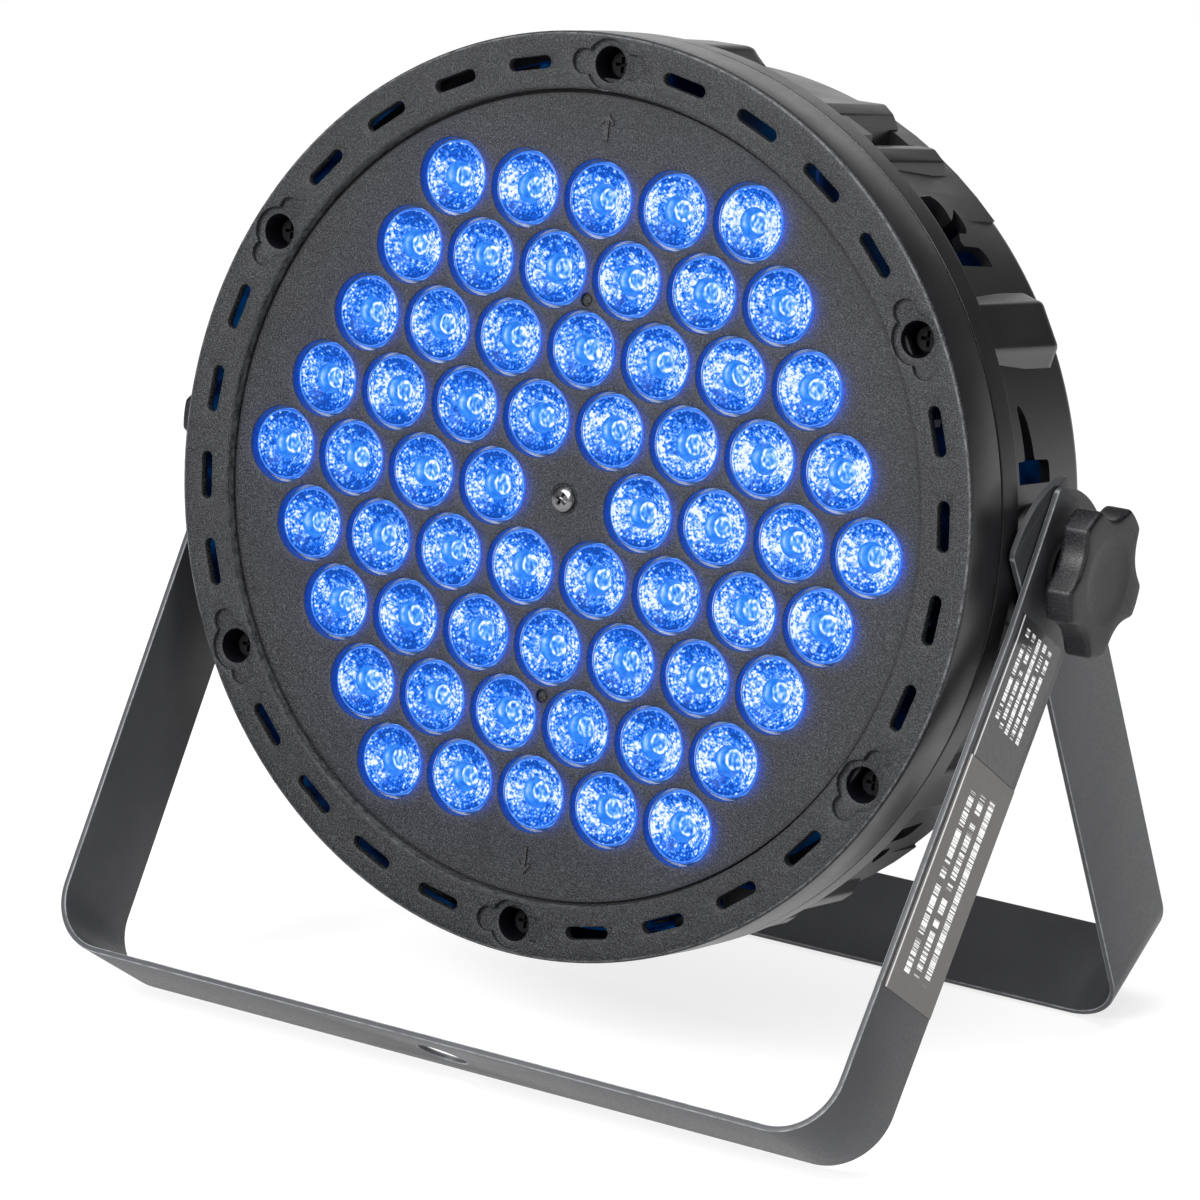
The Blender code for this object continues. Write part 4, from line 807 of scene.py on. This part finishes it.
# ------------------------------------------------------------------ screws
def make_centre_screw():
    """Pan head with a cross recess."""
    solid = bmesh.new()
    head = [(1.6, -37.2), (3.3, -37.5), (3.36, -37.9), (3.1, -38.45), (2.5, -38.85), (1.9, -38.98)]
    skin(solid, turn_y(head, 32))
    arm, half, floor = 1.75, 0.42, -37.9
    cross = [(arm, half), (half, half), (half, arm), (-half, arm), (-half, half), (-arm, half),
             (-arm, -half), (-half, -half), (-half, -arm), (half, -arm), (half, -half), (arm, -half)]
    flat_sheet(solid, -38.98, circle(1.9, 32), [cross])
    inner = [(x * 0.62, z * 0.62) for x, z in cross]
    skin(solid, [[(x, -38.98, z) for x, z in cross], [(x, floor, z) for x, z in inner]], cap_last=True)
    turn = Matrix.Rotation(math.radians(28.0), 4, "Y")
    return put("centre_screw_head", solid, HOUSING @ turn, [nickel], "housing", ("centre_screw",),
               28.0)


# ------------------------------------------------------------------ yokes
def strap_path(half_pivot, half_bar, length, top, inset, bends=22):
    """Points (x, z) of a strap face with smooth bends, from the right end round to the left."""
    corner = Vector((half_bar, -length))
    knee = Vector((half_pivot, -22.0))
    up = (knee - corner).normalized()
    across = Vector((-1.0, 0.0))
    opening = up.angle(across)
    radius = 16.5
    back_off = radius / math.tan(opening / 2.0)
    centre = corner + (up + across).normalized() * (radius / math.sin(opening / 2.0))
    start = corner + up * back_off - centre
    end = corner + across * back_off - centre
    first, last = math.atan2(start.y, start.x), math.atan2(end.y, end.x)
    side = [(half_pivot - inset, top), (half_pivot - inset, -8.0), (half_pivot - inset, -21.0),
            (half_pivot - inset - 0.04, -23.5)]
    out = Vector((up.y, -up.x))
    for step in (0.25, 0.5, 0.75):
        point = knee.lerp(corner + up * back_off, step) - out * inset
        side.append((point.x, point.y))
    for step in range(bends + 1):
        angle = first + (last - first) * step / bends
        side.append((centre.x + (radius - inset) * math.cos(angle),
                     centre.y + (radius - inset) * math.sin(angle)))
    side.append(((centre.x) * 0.5, -length + inset))
    return side + [(-x, z) for x, z in reversed(side)]


def strap_section():
    """Cross-section of the strap as (across, inset): flat faces, small round edges."""
    half, thick, r = 15.0, 1.5, 0.32
    points = []
    for cy, ci, first in ((half - r, r, 270.0), (half - r, thick - r, 0.0), (-half + r, thick - r, 90.0),
                          (-half + r, r, 180.0)):
        for step in range(4):
            dy, di = polar(r, first + 30.0 * step)
            points.append((cy + dy, ci + di))
    return points


def make_yoke(name, node, body, matrix, half_pivot, half_bar, length, top, hole):
    """Bent strap with round edges, arc-shaped ends and an optional eased hole in the bar."""
    solid = bmesh.new()
    straight_top = top - 5.6
    section = strap_section()
    faces = []
    for across, inset in section:
        faces.append(strap_path(half_pivot, half_bar, length, straight_top, inset))
    count = len(faces[0])
    rows = []
    for station in range(count):
        rows.append([solid.verts.new((faces[k][station][0], section[k][0], faces[k][station][1]))
                     for k in range(len(section))])
    gaps = []
    middle = count // 2
    for station in range(count - 1):
        if hole and station == middle - 1:
            gaps.append((rows[station], rows[station + 1]))
            for k in range(len(section)):
                after = (k + 1) % len(section)
                if k not in (15, 7):
                    solid.faces.new((rows[station][k], rows[station][after], rows[station + 1][after],
                                     rows[station + 1][k]))
            continue
        bridge(solid, rows[station], rows[station + 1])
    for near, far in gaps:
        x0, x1 = far[0].co.x, near[0].co.x
        for k, after, z in ((15, 0, -length), (7, 8, -length + STRAP_THICK)):
            y0, y1 = near[k].co.y, near[after].co.y
            add_bar_face(solid, x0, x1, min(y0, y1), max(y0, y1), z)
        add_hole_wall(solid, length)
    for row, sign in ((rows[0], 1.0), (rows[-1], -1.0)):
        add_strap_end(solid, row, sign, half_pivot, top)
    piece = put(name, solid, Matrix.Identity(4), [steel_coat], body, (node,), 30.0)
    edge = piece.data.attributes.new("edge", "FLOAT", "POINT")
    for index, vertex in enumerate(piece.data.vertices):
        x, y, z = vertex.co
        close = 14.80 < abs(y) < 14.97
        if hole and 6.52 < math.hypot(x, y) < 6.75 and z < -length + 2.0:
            close = True
        edge.data[index].value = 1.0 if close else 0.0
    piece.data.transform(matrix)
    return piece


def add_bar_face(solid, x0, x1, y0, y1, z):
    """Flat face of the bar round its hole."""
    rim = circle(HANG_RADIUS + 0.45, 48)
    outer = [(x0, y0), (x1, y0), (x1, y1), (x0, y1)]
    points = [Vector(p) for p in outer] + [Vector(p) for p in rim]
    edges = [(i, (i + 1) % 4) for i in range(4)] + [(4 + i, 4 + (i + 1) % 48) for i in range(48)]
    found, _, faces, _, _, _ = delaunay_2d_cdt(points, edges, [], 0, 0.00001)
    verts = [solid.verts.new((point.x, point.y, z)) for point in found]
    for face in faces:
        x = sum(found[i].x for i in face) / len(face)
        y = sum(found[i].y for i in face) / len(face)
        if math.hypot(x, y) > 6.93:
            solid.faces.new([verts[i] for i in face])


def add_hole_wall(solid, length):
    """Eased wall of the hole."""
    profile = [(6.95, -length), (6.70, -length + 0.07), (6.55, -length + 0.22), (6.5, -length + 0.45),
               (6.5, -length + 1.05), (6.55, -length + 1.28), (6.70, -length + 1.43), (6.95, -length + 1.5)]
    skin(solid, [[(x, y, z) for x, y in circle(radius, 48)] for radius, z in profile])


def add_strap_end(solid, row, sign, half_pivot, top):
    """Round-cornered arc at the end of an arm, with the strap's own edge radius."""
    crown, fillet = 31.0, 2.6
    rise = math.sqrt((crown - fillet) ** 2 - (STRAP_HALF - fillet) ** 2)
    low = top - crown + rise
    high = top - crown + rise * crown / (crown - fillet)
    levels = [low + fillet * math.sin(math.radians(turn)) for turn in (0.0, 15.0, 30.0, 45.0)]
    levels = [z for z in levels if z < high]
    levels += [high + (top - high) * (1.0 - (1.0 - step / 14.0) ** 2) for step in range(15)]
    previous = row
    for z in levels:
        if z < high:
            half = STRAP_HALF - fillet + math.sqrt(max(fillet ** 2 - (z - low) ** 2, 0.0))
        else:
            half = math.sqrt(max(crown ** 2 - (crown - top + z) ** 2, 0.0001))
        ring = [solid.verts.new((sign * (half_pivot - inset), across * half / STRAP_HALF, z))
                for across, inset in strap_section()]
        bridge(solid, previous, ring)
        previous = ring
    solid.faces.new(previous)


# ------------------------------------------------------------------ knobs
def knob_radius(angle):
    """Outline of the knob: five flat-tipped lobes between round flutes."""
    tip, reach, flute = 19.0, 26.0, 11.0
    turn = abs((math.degrees(angle) + 36.0) % 72.0 - 36.0)
    from_flute = math.radians(36.0 - turn)
    across = reach * math.sin(from_flute)
    if across < flute:
        hollow = reach * math.cos(from_flute) - math.sqrt(flute ** 2 - across ** 2)
    else:
        hollow = 40.0
    soft = 1.05
    if hollow > tip + 8.0 * soft:
        return tip
    return -soft * math.log(math.exp(-tip / soft) + math.exp(-hollow / soft))


def make_knob(side, sign, lobe_angle):
    """Five-lobed knob with a hub, rounded rims and a slightly crowned face."""
    solid = bmesh.new()
    count = 240
    levels = [(121.4, "hub", 7.7), (121.7, "hub", 8.0), (124.2, "hub", 8.2), (124.45, "hub", 8.6),
              (124.5, "star", 2.2), (124.6, "star", 1.1), (124.9, "star", 0.45), (125.3, "star", 0.1),
              (126.0, "star", 0.0), (130.6, "star", 0.0), (131.2, "star", 0.08), (131.6, "star", 0.3),
              (131.88, "star", 0.7), (132.0, "star", 1.3), (132.0, "star", 3.3),
              (132.0, "hub", 11.3), (131.93, "hub", 10.6), (131.8, "hub", 9.6), (131.64, "hub", 8.0),
              (131.54, "hub", 6.0), (131.5, "hub", 3.0)]
    rings = []
    for x, kind, value in levels:
        ring = []
        for step in range(count):
            angle = 2.0 * math.pi * step / count
            radius = knob_radius(angle)
            if kind == "hub":
                radius = value
            else:
                radius -= value
            turn = math.radians(lobe_angle) + angle
            ring.append((sign * x, -radius * math.cos(turn), radius * math.sin(turn)))
        rings.append(ring)
    skin(solid, rings, cap_first=True, cap_last=True)
    return put("star_knob_" + side, solid, HOUSING, [knob_black], "knob_" + side, ("knob_" + side,),
               40.0)


# ------------------------------------------------------------------ drum
def boolean(target, tool, operation):
    """Combine two temporary objects and return the first with a new mesh."""
    change = target.modifiers.new("combine", "BOOLEAN")
    change.operation = operation
    change.solver = "EXACT"
    change.object = tool
    graph = bpy.context.evaluated_depsgraph_get()
    result = bpy.data.meshes.new_from_object(target.evaluated_get(graph))
    target.modifiers.clear()
    target.data = result
    bpy.data.objects.remove(tool)
    return target


def loose(solids, name="loose"):
    """A temporary object from separate closed bmeshes."""
    whole = bmesh.new()
    for solid in solids:
        bmesh.ops.recalc_face_normals(solid, faces=solid.faces)
        mesh = bpy.data.meshes.new("loose")
        solid.to_mesh(mesh)
        solid.free()
        whole.from_mesh(mesh)
        bpy.data.meshes.remove(mesh)
    mesh = bpy.data.meshes.new(name)
    whole.to_mesh(mesh)
    whole.free()
    made = bpy.data.objects.new(name, mesh)
    bpy.context.scene.collection.objects.link(made)
    return made


def closed(rings):
    """Closed bmesh from rings with capped ends."""
    solid = bmesh.new()
    skin(solid, rings, cap_first=True, cap_last=True)
    return solid


def extruded(outline, levels):
    """Closed prism along Y: levels are (y, shrink) and shrink pulls each point towards the axis."""
    middle = (sum(p[0] for p in outline) / len(outline), sum(p[1] for p in outline) / len(outline))
    rings = []
    for y, drop in levels:
        rings.append([(x - drop * x / math.hypot(x, z), y, z - drop * z / math.hypot(x, z)) for x,
                      z in outline])
    return closed(rings)


def lowered(outline, levels):
    """Closed prism along Y whose outline moves towards the middle height at each level."""
    rings = [[(x, y, z - math.copysign(drop, z)) for x, z in outline] for y, drop in levels]
    return closed(rings)


def wall_cutter(outline):
    """Radial cutter through the drum wall from (angle, y) points."""
    rings = []
    for radius in (98.0, 119.0):
        rings.append([(*polar(radius, angle)[:1], y, polar(radius, angle)[1]) for angle, y in outline])
    solid = closed(rings)
    bmesh.ops.triangulate(solid, faces=solid.faces)
    return solid


def make_drum():
    """Rear housing with its flange, pads, stepped ribs, vents, bosses and rear face."""
    front = SEAM + 0.25
    profile = [(105.0, 26.5), (107.0, 24.0), (109.5, -19.2), (112.9, -19.2), (112.9, front), (114.95, front),
               (115.22, front + 0.15), (115.3, front + 0.5), (115.3, -17.2), (115.15, -16.8), (114.8, -16.6),
               (111.9, -16.6), (109.4, 25.0), (109.1, 26.6), (108.4, 27.9), (107.3, 28.7), (105.9, 29.0)]
    drum = loose([closed(turn_y(profile, 240))], "drum")

    first_rib = [(34.0, 101.6), (34.0, 104.4), (46.2, 104.4), (46.9, 104.1), (49.2, 102.2), (49.35, 101.6),
                 (49.4, 96.6)]
    second_rib = [(51.5, 91.6), (51.5, 95.4), (61.0, 95.4), (62.0, 95.1), (64.6, 92.8), (64.9, 92.0),
                  (65.0, 84.6)]
    web = [(48.5, 102.2), (57.4, 97.9), (57.4, 90.0), (48.5, 90.0)]
    lining = [polar(110.2, angle) for angle in (46.0, 50.0, 54.0, 58.0, 62.0, 66.4)]
    lining += [polar(101.3, angle) for angle in (66.4, 56.7, 46.0)]
    recess = [(49.45, 112.0), (49.45, 94.2), (54.5, 91.8), (57.4, 95.4), (57.4, 108.0)]
    tee = [(10.4, -8.6), (10.4, 9.1), (10.6, 9.4), (12.6, 9.4), (13.05, 9.2), (13.3, 8.6), (13.4, 1.3),
           (13.7, 1.0),
           (16.0, 0.4), (18.0, -0.6), (19.2, -1.8), (20.0, -3.2), (20.3, -4.6), (19.8, -5.4), (18.0, -5.0),
           (16.0, -4.8), (13.8, -4.6), (13.3, -5.0), (13.2, -8.6)]
    fork = [(38.95, -8.1), (38.95, 9.1), (39.1, 9.4), (40.2, 9.4), (41.1, 8.8), (41.6, 7.8), (41.85, 6.6),
            (41.9, -0.5), (42.1, -1.0), (42.6, -1.1), (43.6, 0.2), (43.9, 1.0), (43.9, 5.0), (44.7, 6.9),
            (45.7, 7.8), (46.9, 8.0), (47.9, 7.4), (47.2, 5.6), (46.5, 3.4), (46.1, 2.2), (45.9, 1.4),
            (46.4, 1.6),
            (47.6, 2.3), (48.6, 2.0), (49.4, 1.0), (49.9, -0.6), (49.6, -7.0), (44.0, -7.6)]
    slit = [(77.0, -7.0), (77.0, 3.0), (78.6, 3.0), (78.6, -7.0)]
    linings, ribs, webs, recesses, vents = [], [], [], [], []
    for sx in (1.0, -1.0):
        for sz in (1.0, -1.0):
            def flip(points):
                return [(sx * x, sz * z) for x, z in points]

            def swing(points):
                result = []
                for angle, y in points:
                    angle = angle if sx > 0 else 180.0 - angle
                    result.append((angle * sz, y))
                return result
            linings.append(extruded(flip(lining), [(-9.0, 0.0), (25.2, 0.0)]))
            for rib in (first_rib, second_rib):
                ribs.append(lowered(flip(rib), [(-17.2, 0.0), (16.7, 0.0), (19.9, 3.1)]))
            webs.append(extruded(flip(web), [(-17.2, 0.0), (-7.4, 0.0)]))
            recesses.append(extruded(flip(recess), [(-7.4, 0.0), (15.8, 0.0)]))
            for vent in (tee, fork, slit):
                vents.append(wall_cutter(swing(vent)))
    pads, bosses = [], []
    for angle in SCREW_ANGLES:
        rings = []
        for y, lower in ((-18.0, 0.0), (16.5, 0.0), (18.6, 0.25), (20.0, 1.1), (20.8, 3.2)):
            ring = []
            for turn, radius in ((-5.1, 108.3), (-5.1, 110.6), (-3.7, 112.75), (-3.45, 113.3), (-3.2, 113.75),
                                 (-2.9, 114.05), (-2.55, 114.2), (2.55, 114.3), (2.9, 114.15), (3.2, 113.8),
                                 (3.45, 113.3), (3.7, 112.75), (5.1, 110.6), (5.1, 108.3)):
                level = radius - lower if radius > 109.0 else 108.3
                x, z = polar(max(level, 108.3 + 0.02 * (radius - 108.3)), angle + turn)
                ring.append((x, y, z))
            rings.append(ring)
        pads.append(closed(rings))
    for sign in (1.0, -1.0):
        bosses.append(closed(turn_x([(15.6, 104.0), (15.4, 112.0), (15.0, 114.2), (14.6, 114.6)], 64, sign)))
    drum = boolean(drum, loose(linings), "UNION")
    drum = boolean(drum, loose(pads), "UNION")
    drum = boolean(drum, loose(bosses), "UNION")
    drum = boolean(drum, loose(ribs), "UNION")
    drum = boolean(drum, loose(webs), "UNION")
    drum = boolean(drum, loose(recesses), "DIFFERENCE")
    drum = boolean(drum, loose(vents), "DIFFERENCE")
    cuts = []
    for step in range(-4, 5):
        x = step * 6.2
        reach = math.sqrt(27.0 ** 2 - x ** 2)
        outline = [(x + 1.7, 48.0 - reach), (x + 1.7, 48.0 + reach), (x + 0.8, 49.0 + reach),
                   (x - 0.8, 49.0 + reach),
                   (x - 1.7, 48.0 + reach), (x - 1.7, 48.0 - reach), (x - 0.8, 47.0 - reach),
                   (x + 0.8, 47.0 - reach)]
        cuts.append(extruded_plain(outline, 25.0, 31.0))
    for x in (-27.0, -9.0, 9.0, 27.0):
        cuts.append(closed(turn_y([(3.9, 25.0), (3.9, 31.0)], 32, (x, -20.0))))
    cuts.append(extruded_plain([(-20.3, -9.3), (20.3, -9.3), (20.3, 7.3), (-20.3, 7.3)], 25.0, 31.0))
    for centre in ((-57.0, -49.0), (-22.0, -57.0)):
        cuts.append(closed(turn_y([(11.5, 25.0), (11.5, 31.0)], 40, centre)))
    cuts.append(extruded_plain([(27.7, -66.8), (56.3, -66.8), (56.3, -45.2), (27.7, -45.2)], 25.0, 31.0))
    cuts.append(closed(turn_y([(6.8, 25.0), (6.8, 31.0)], 32, (70.0, -22.0))))
    for sign in (1.0, -1.0):
        cuts.append(closed(turn_x([(4.2, 100.0), (4.2, 118.0)], 32, sign)))
    drum = boolean(drum, loose(cuts), "DIFFERENCE")
    ease = drum.modifiers.new("ease", "BEVEL")
    ease.width, ease.segments, ease.limit_method, ease.angle_limit = 0.3, 2, "ANGLE", math.radians(38.0)
    mesh = bpy.data.meshes.new_from_object(drum.evaluated_get(bpy.context.evaluated_depsgraph_get()))
    bpy.data.objects.remove(drum)
    while mesh.materials:
        mesh.materials.pop(index=0)
    inside_wall = []
    for face in mesh.polygons:
        middle = face.center
        radial = Vector((middle.x, 0.0, middle.z))
        facing = face.normal.dot(radial.normalized())
        inside_wall.append(1 if radial.length < 110.5 and (
            facing < -0.2 or middle.y < 27.5 and face.normal.y < -0.7 and radial.length < 104.0) else 0)
    mesh.polygons.foreach_set("material_index", inside_wall)
    lit = mesh.attributes.new("lit", "FLOAT", "POINT")
    for index, vertex in enumerate(mesh.vertices):
        x, y, z = vertex.co
        radius = math.hypot(x, z)
        behind = 0.24 if y > 24.0 and radius > 62.0 else 0.05
        lit.data[index].value = min(max((-6.0 - y) / 16.0, behind), 1.0)
    piece = put_mesh("drum_shell", mesh, HOUSING, [drum_black, lit_inside], "housing", ("rear_housing",),
                     30.0)
    even = piece.modifiers.new("even", "WEIGHTED_NORMAL")
    even.keep_sharp = True
    even.weight = 80
    return piece


def extruded_plain(outline, y0, y1):
    """Closed prism along Y."""
    return closed([[(x, y0, z) for x, z in outline], [(x, y1, z) for x, z in outline]])


# ------------------------------------------------------------------ labels
def make_label(name, node, shader, start, end, y0, y1):
    """Sticker that follows the outer face of the right front arm."""
    knee = Vector((119.6, -22.0))
    along = (Vector((115.0, -152.0)) - knee).normalized()
    out = Vector((-along.y, along.x))
    stations = [start + (end - start) * step / 12.0 for step in range(13)]
    if start < 22.0 < end:
        stations = sorted(stations + [22.0])
    solid = bmesh.new()
    layer = solid.loops.layers.uv.new("print")
    rings = []
    for distance in stations:
        ring = []
        for y, lift in ((y0, 0.02), (y1, 0.02), (y1, 0.16), (y0, 0.16)):
            if distance <= 22.0:
                ring.append((119.6 + lift, y, -distance))
            else:
                point = knee + along * (distance - 22.0) + out * lift
                ring.append((point.x, y, point.y))
        rings.append(ring)
    rows = skin(solid, rings, cap_first=True, cap_last=True)
    for face in solid.faces:
        for loop in face.loops:
            loop[layer].uv = (-(loop.vert.co.z + start) / (end - start), (loop.vert.co.y - y0) / (y1 - y0))
    return put(name, solid, FRONT_YOKE, [shader], "front_yoke", (node,), 30.0, weld=False)


# ------------------------------------------------------------------ build
make_lens_plate()
make_lenses()
make_bezel()
make_arrow("arrow_up", 95.6, 1.0)
make_arrow("arrow_down", -94.6, -1.0)
make_centre_screw()
make_yoke("yoke_front_strap", "front_yoke", "front_yoke", FRONT_YOKE, 119.6, 115.0, 152.0, 20.0, True)
make_yoke("yoke_rear_strap", "rear_yoke", "rear_yoke", REAR_YOKE, 117.7, 113.1, 149.4, 22.0, False)
make_knob("right", 1.0, 55.0)
make_knob("left", -1.0, 0.0)
make_drum()
dark_label = label_material("label_dark_print", (0.0065, 0.007, 0.009), (0.95, 0.95, 0.95), 7, 0.06, 0.74,
                            0.12, 0.88, 88.0)
brown_label = label_material("label_brown_print", (0.055, 0.049, 0.044), (0.95, 0.95, 0.94), 5, 0.10, 0.90,
                             0.18, 0.82, 125.0)
make_label("sticker_upper", "label_upper", dark_label, 15.5, 51.8, -12.7, 12.5)
make_label("sticker_lower", "label_lower", brown_label, 52.0, 111.3, -13.7, 14.7)

# ------------------------------------------------------------------ materials of the CAD nodes that stay
socket_black = satin_plastic("socket_black_moulded", (0.014, 0.014, 0.016), 0.30)
board_green = satin_plastic("board_mask_green", (0.02, 0.16, 0.07), 0.35)
board_white = satin_plastic("board_mask_white", (0.55, 0.57, 0.60), 0.40)
aluminium = worn_metal("extruded_aluminium", (0.60, 0.61, 0.63), 0.34, stretch=(0.05, 1.0, 1.0))
fibre = satin_plastic("pressed_fibre", (0.10, 0.075, 0.055), 0.75, 0.00006)
tape = satin_plastic("winding_tape", (0.62, 0.50, 0.08), 0.45)
sleeve = satin_plastic("shrink_sleeve", (0.015, 0.025, 0.09), 0.30)
tint = satin_plastic("display_tint_film", (0.05, 0.006, 0.008), 0.08)
button = satin_plastic("button_grey_moulded", (0.16, 0.16, 0.17), 0.42)
wire_blue = satin_plastic("wire_blue_skin", (0.02, 0.09, 0.42), 0.40)
wire_black = satin_plastic("wire_black_skin", (0.02, 0.02, 0.022), 0.40)
FINISHES = {
    "textured_black": bezel_black, "satin_black": drum_black, "lens_clear": hole_wall,
    "board_white": board_white,
    "board_green": board_green, "aluminium": aluminium, "graphite_paint": steel_coat,
    "knob_black": knob_black,
    "zinc_steel": zinc, "dark_screw": nickel, "fibre": fibre, "socket_black": socket_black,
    "display_tint": tint,
    "copper_tape": tape, "capacitor_sleeve": sleeve, "label_dark": dark_label, "label_brown": brown_label,
    "wire_blue": wire_blue, "wire_black": wire_black, "button_grey": button,
}
# the pocket screws and the washers take the near-black metal; on the pocket screws it is painted shade
DARK_METAL = ("bezel_screw", "washer", "friction_washer")
SLOTS = {entry["node"]: entry["material_slot"] for entry in frame["record"]["subparts"]}
for node_name, node_object in nodes.items():
    for material_slot in node_object.material_slots:
        finish = black_metal_and_painted_shade if node_name.startswith(DARK_METAL) else FINISHES[SLOTS[node_name]]
        material_slot.material = finish.material

# ------------------------------------------------------------------ floor, light and camera
floor_mesh = bmesh.new()
FLOOR_RADIUS = 9.0
FLOOR_DROP = 0.0004
floor_ring = [floor_mesh.verts.new((FLOOR_RADIUS * math.cos(a * math.pi / 32),
                                    FLOOR_RADIUS * math.sin(a * math.pi / 32), -FLOOR_DROP))
              for a in range(64)]
floor_mesh.faces.new(floor_ring)
floor_data = bpy.data.meshes.new("floor")
floor_mesh.to_mesh(floor_data)
floor_shader = Shader("floor_pale", (0.27, 0.27, 0.27), 0.8)
floor_shader.set("Emission Color", (1.0, 1.0, 1.0, 1.0))
floor_shader.set("Emission Strength", 0.74)
floor_data.materials.append(floor_shader.material)
floor = bpy.data.objects.new("floor", floor_data)
bpy.context.scene.collection.objects.link(floor)

scene = bpy.context.scene
world = bpy.data.worlds.new("studio")
world.use_nodes = True
world.node_tree.nodes["Background"].inputs["Color"].default_value = (1.0, 1.0, 1.0, 1.0)
world.node_tree.nodes["Background"].inputs["Strength"].default_value = 0.10
scene.world = world
scene.view_settings.view_transform = "Standard"


def softbox(name, place, target, width, height, power):
    """Rectangular area light aimed at a point."""
    data = bpy.data.lights.new(name, "AREA")
    data.shape = "RECTANGLE"
    data.size, data.size_y = width, height
    data.energy = power
    made = bpy.data.objects.new(name, data)
    scene.collection.objects.link(made)
    made.location = place
    made.rotation_euler = (Vector(target) - Vector(place)).to_track_quat("-Z", "Y").to_euler()
    return made


softbox("key", (-0.3, -2.0, 1.25), (0.0, 0.0, 0.13), 1.3, 1.0, 92.0)
softbox("top", (0.1, -0.15, 1.9), (0.0, 0.0, 0.12), 1.5, 1.0, 32.0)
softbox("back", (-1.3, 2.3, 0.72), (0.0, 0.0, 0.13), 2.6, 1.3, 11.0)
softbox("fill", (2.1, -0.75, 0.75), (0.0, 0.0, 0.13), 1.0, 1.2, 16.0)

camera_data = bpy.data.cameras.new("camera")
camera_data.lens = 152.5
camera_data.sensor_width = 36.0
camera_data.clip_start = 0.05
camera_data.clip_end = 30.0
camera = bpy.data.objects.new("camera", camera_data)
scene.collection.objects.link(camera)
right = Vector((0.83997, 0.54118, 0.03975))
up = Vector((-0.17421, 0.19957, 0.96427))
back = -Vector((-0.51391, 0.81688, -0.26190))
place = Vector((0.6566, -1.0595, 0.4457))
camera.matrix_world = Matrix((
    (right.x, up.x, back.x, place.x),
    (right.y, up.y, back.y, place.y),
    (right.z, up.z, back.z, place.z),
    (0.0, 0.0, 0.0, 1.0),
))
scene.camera = camera
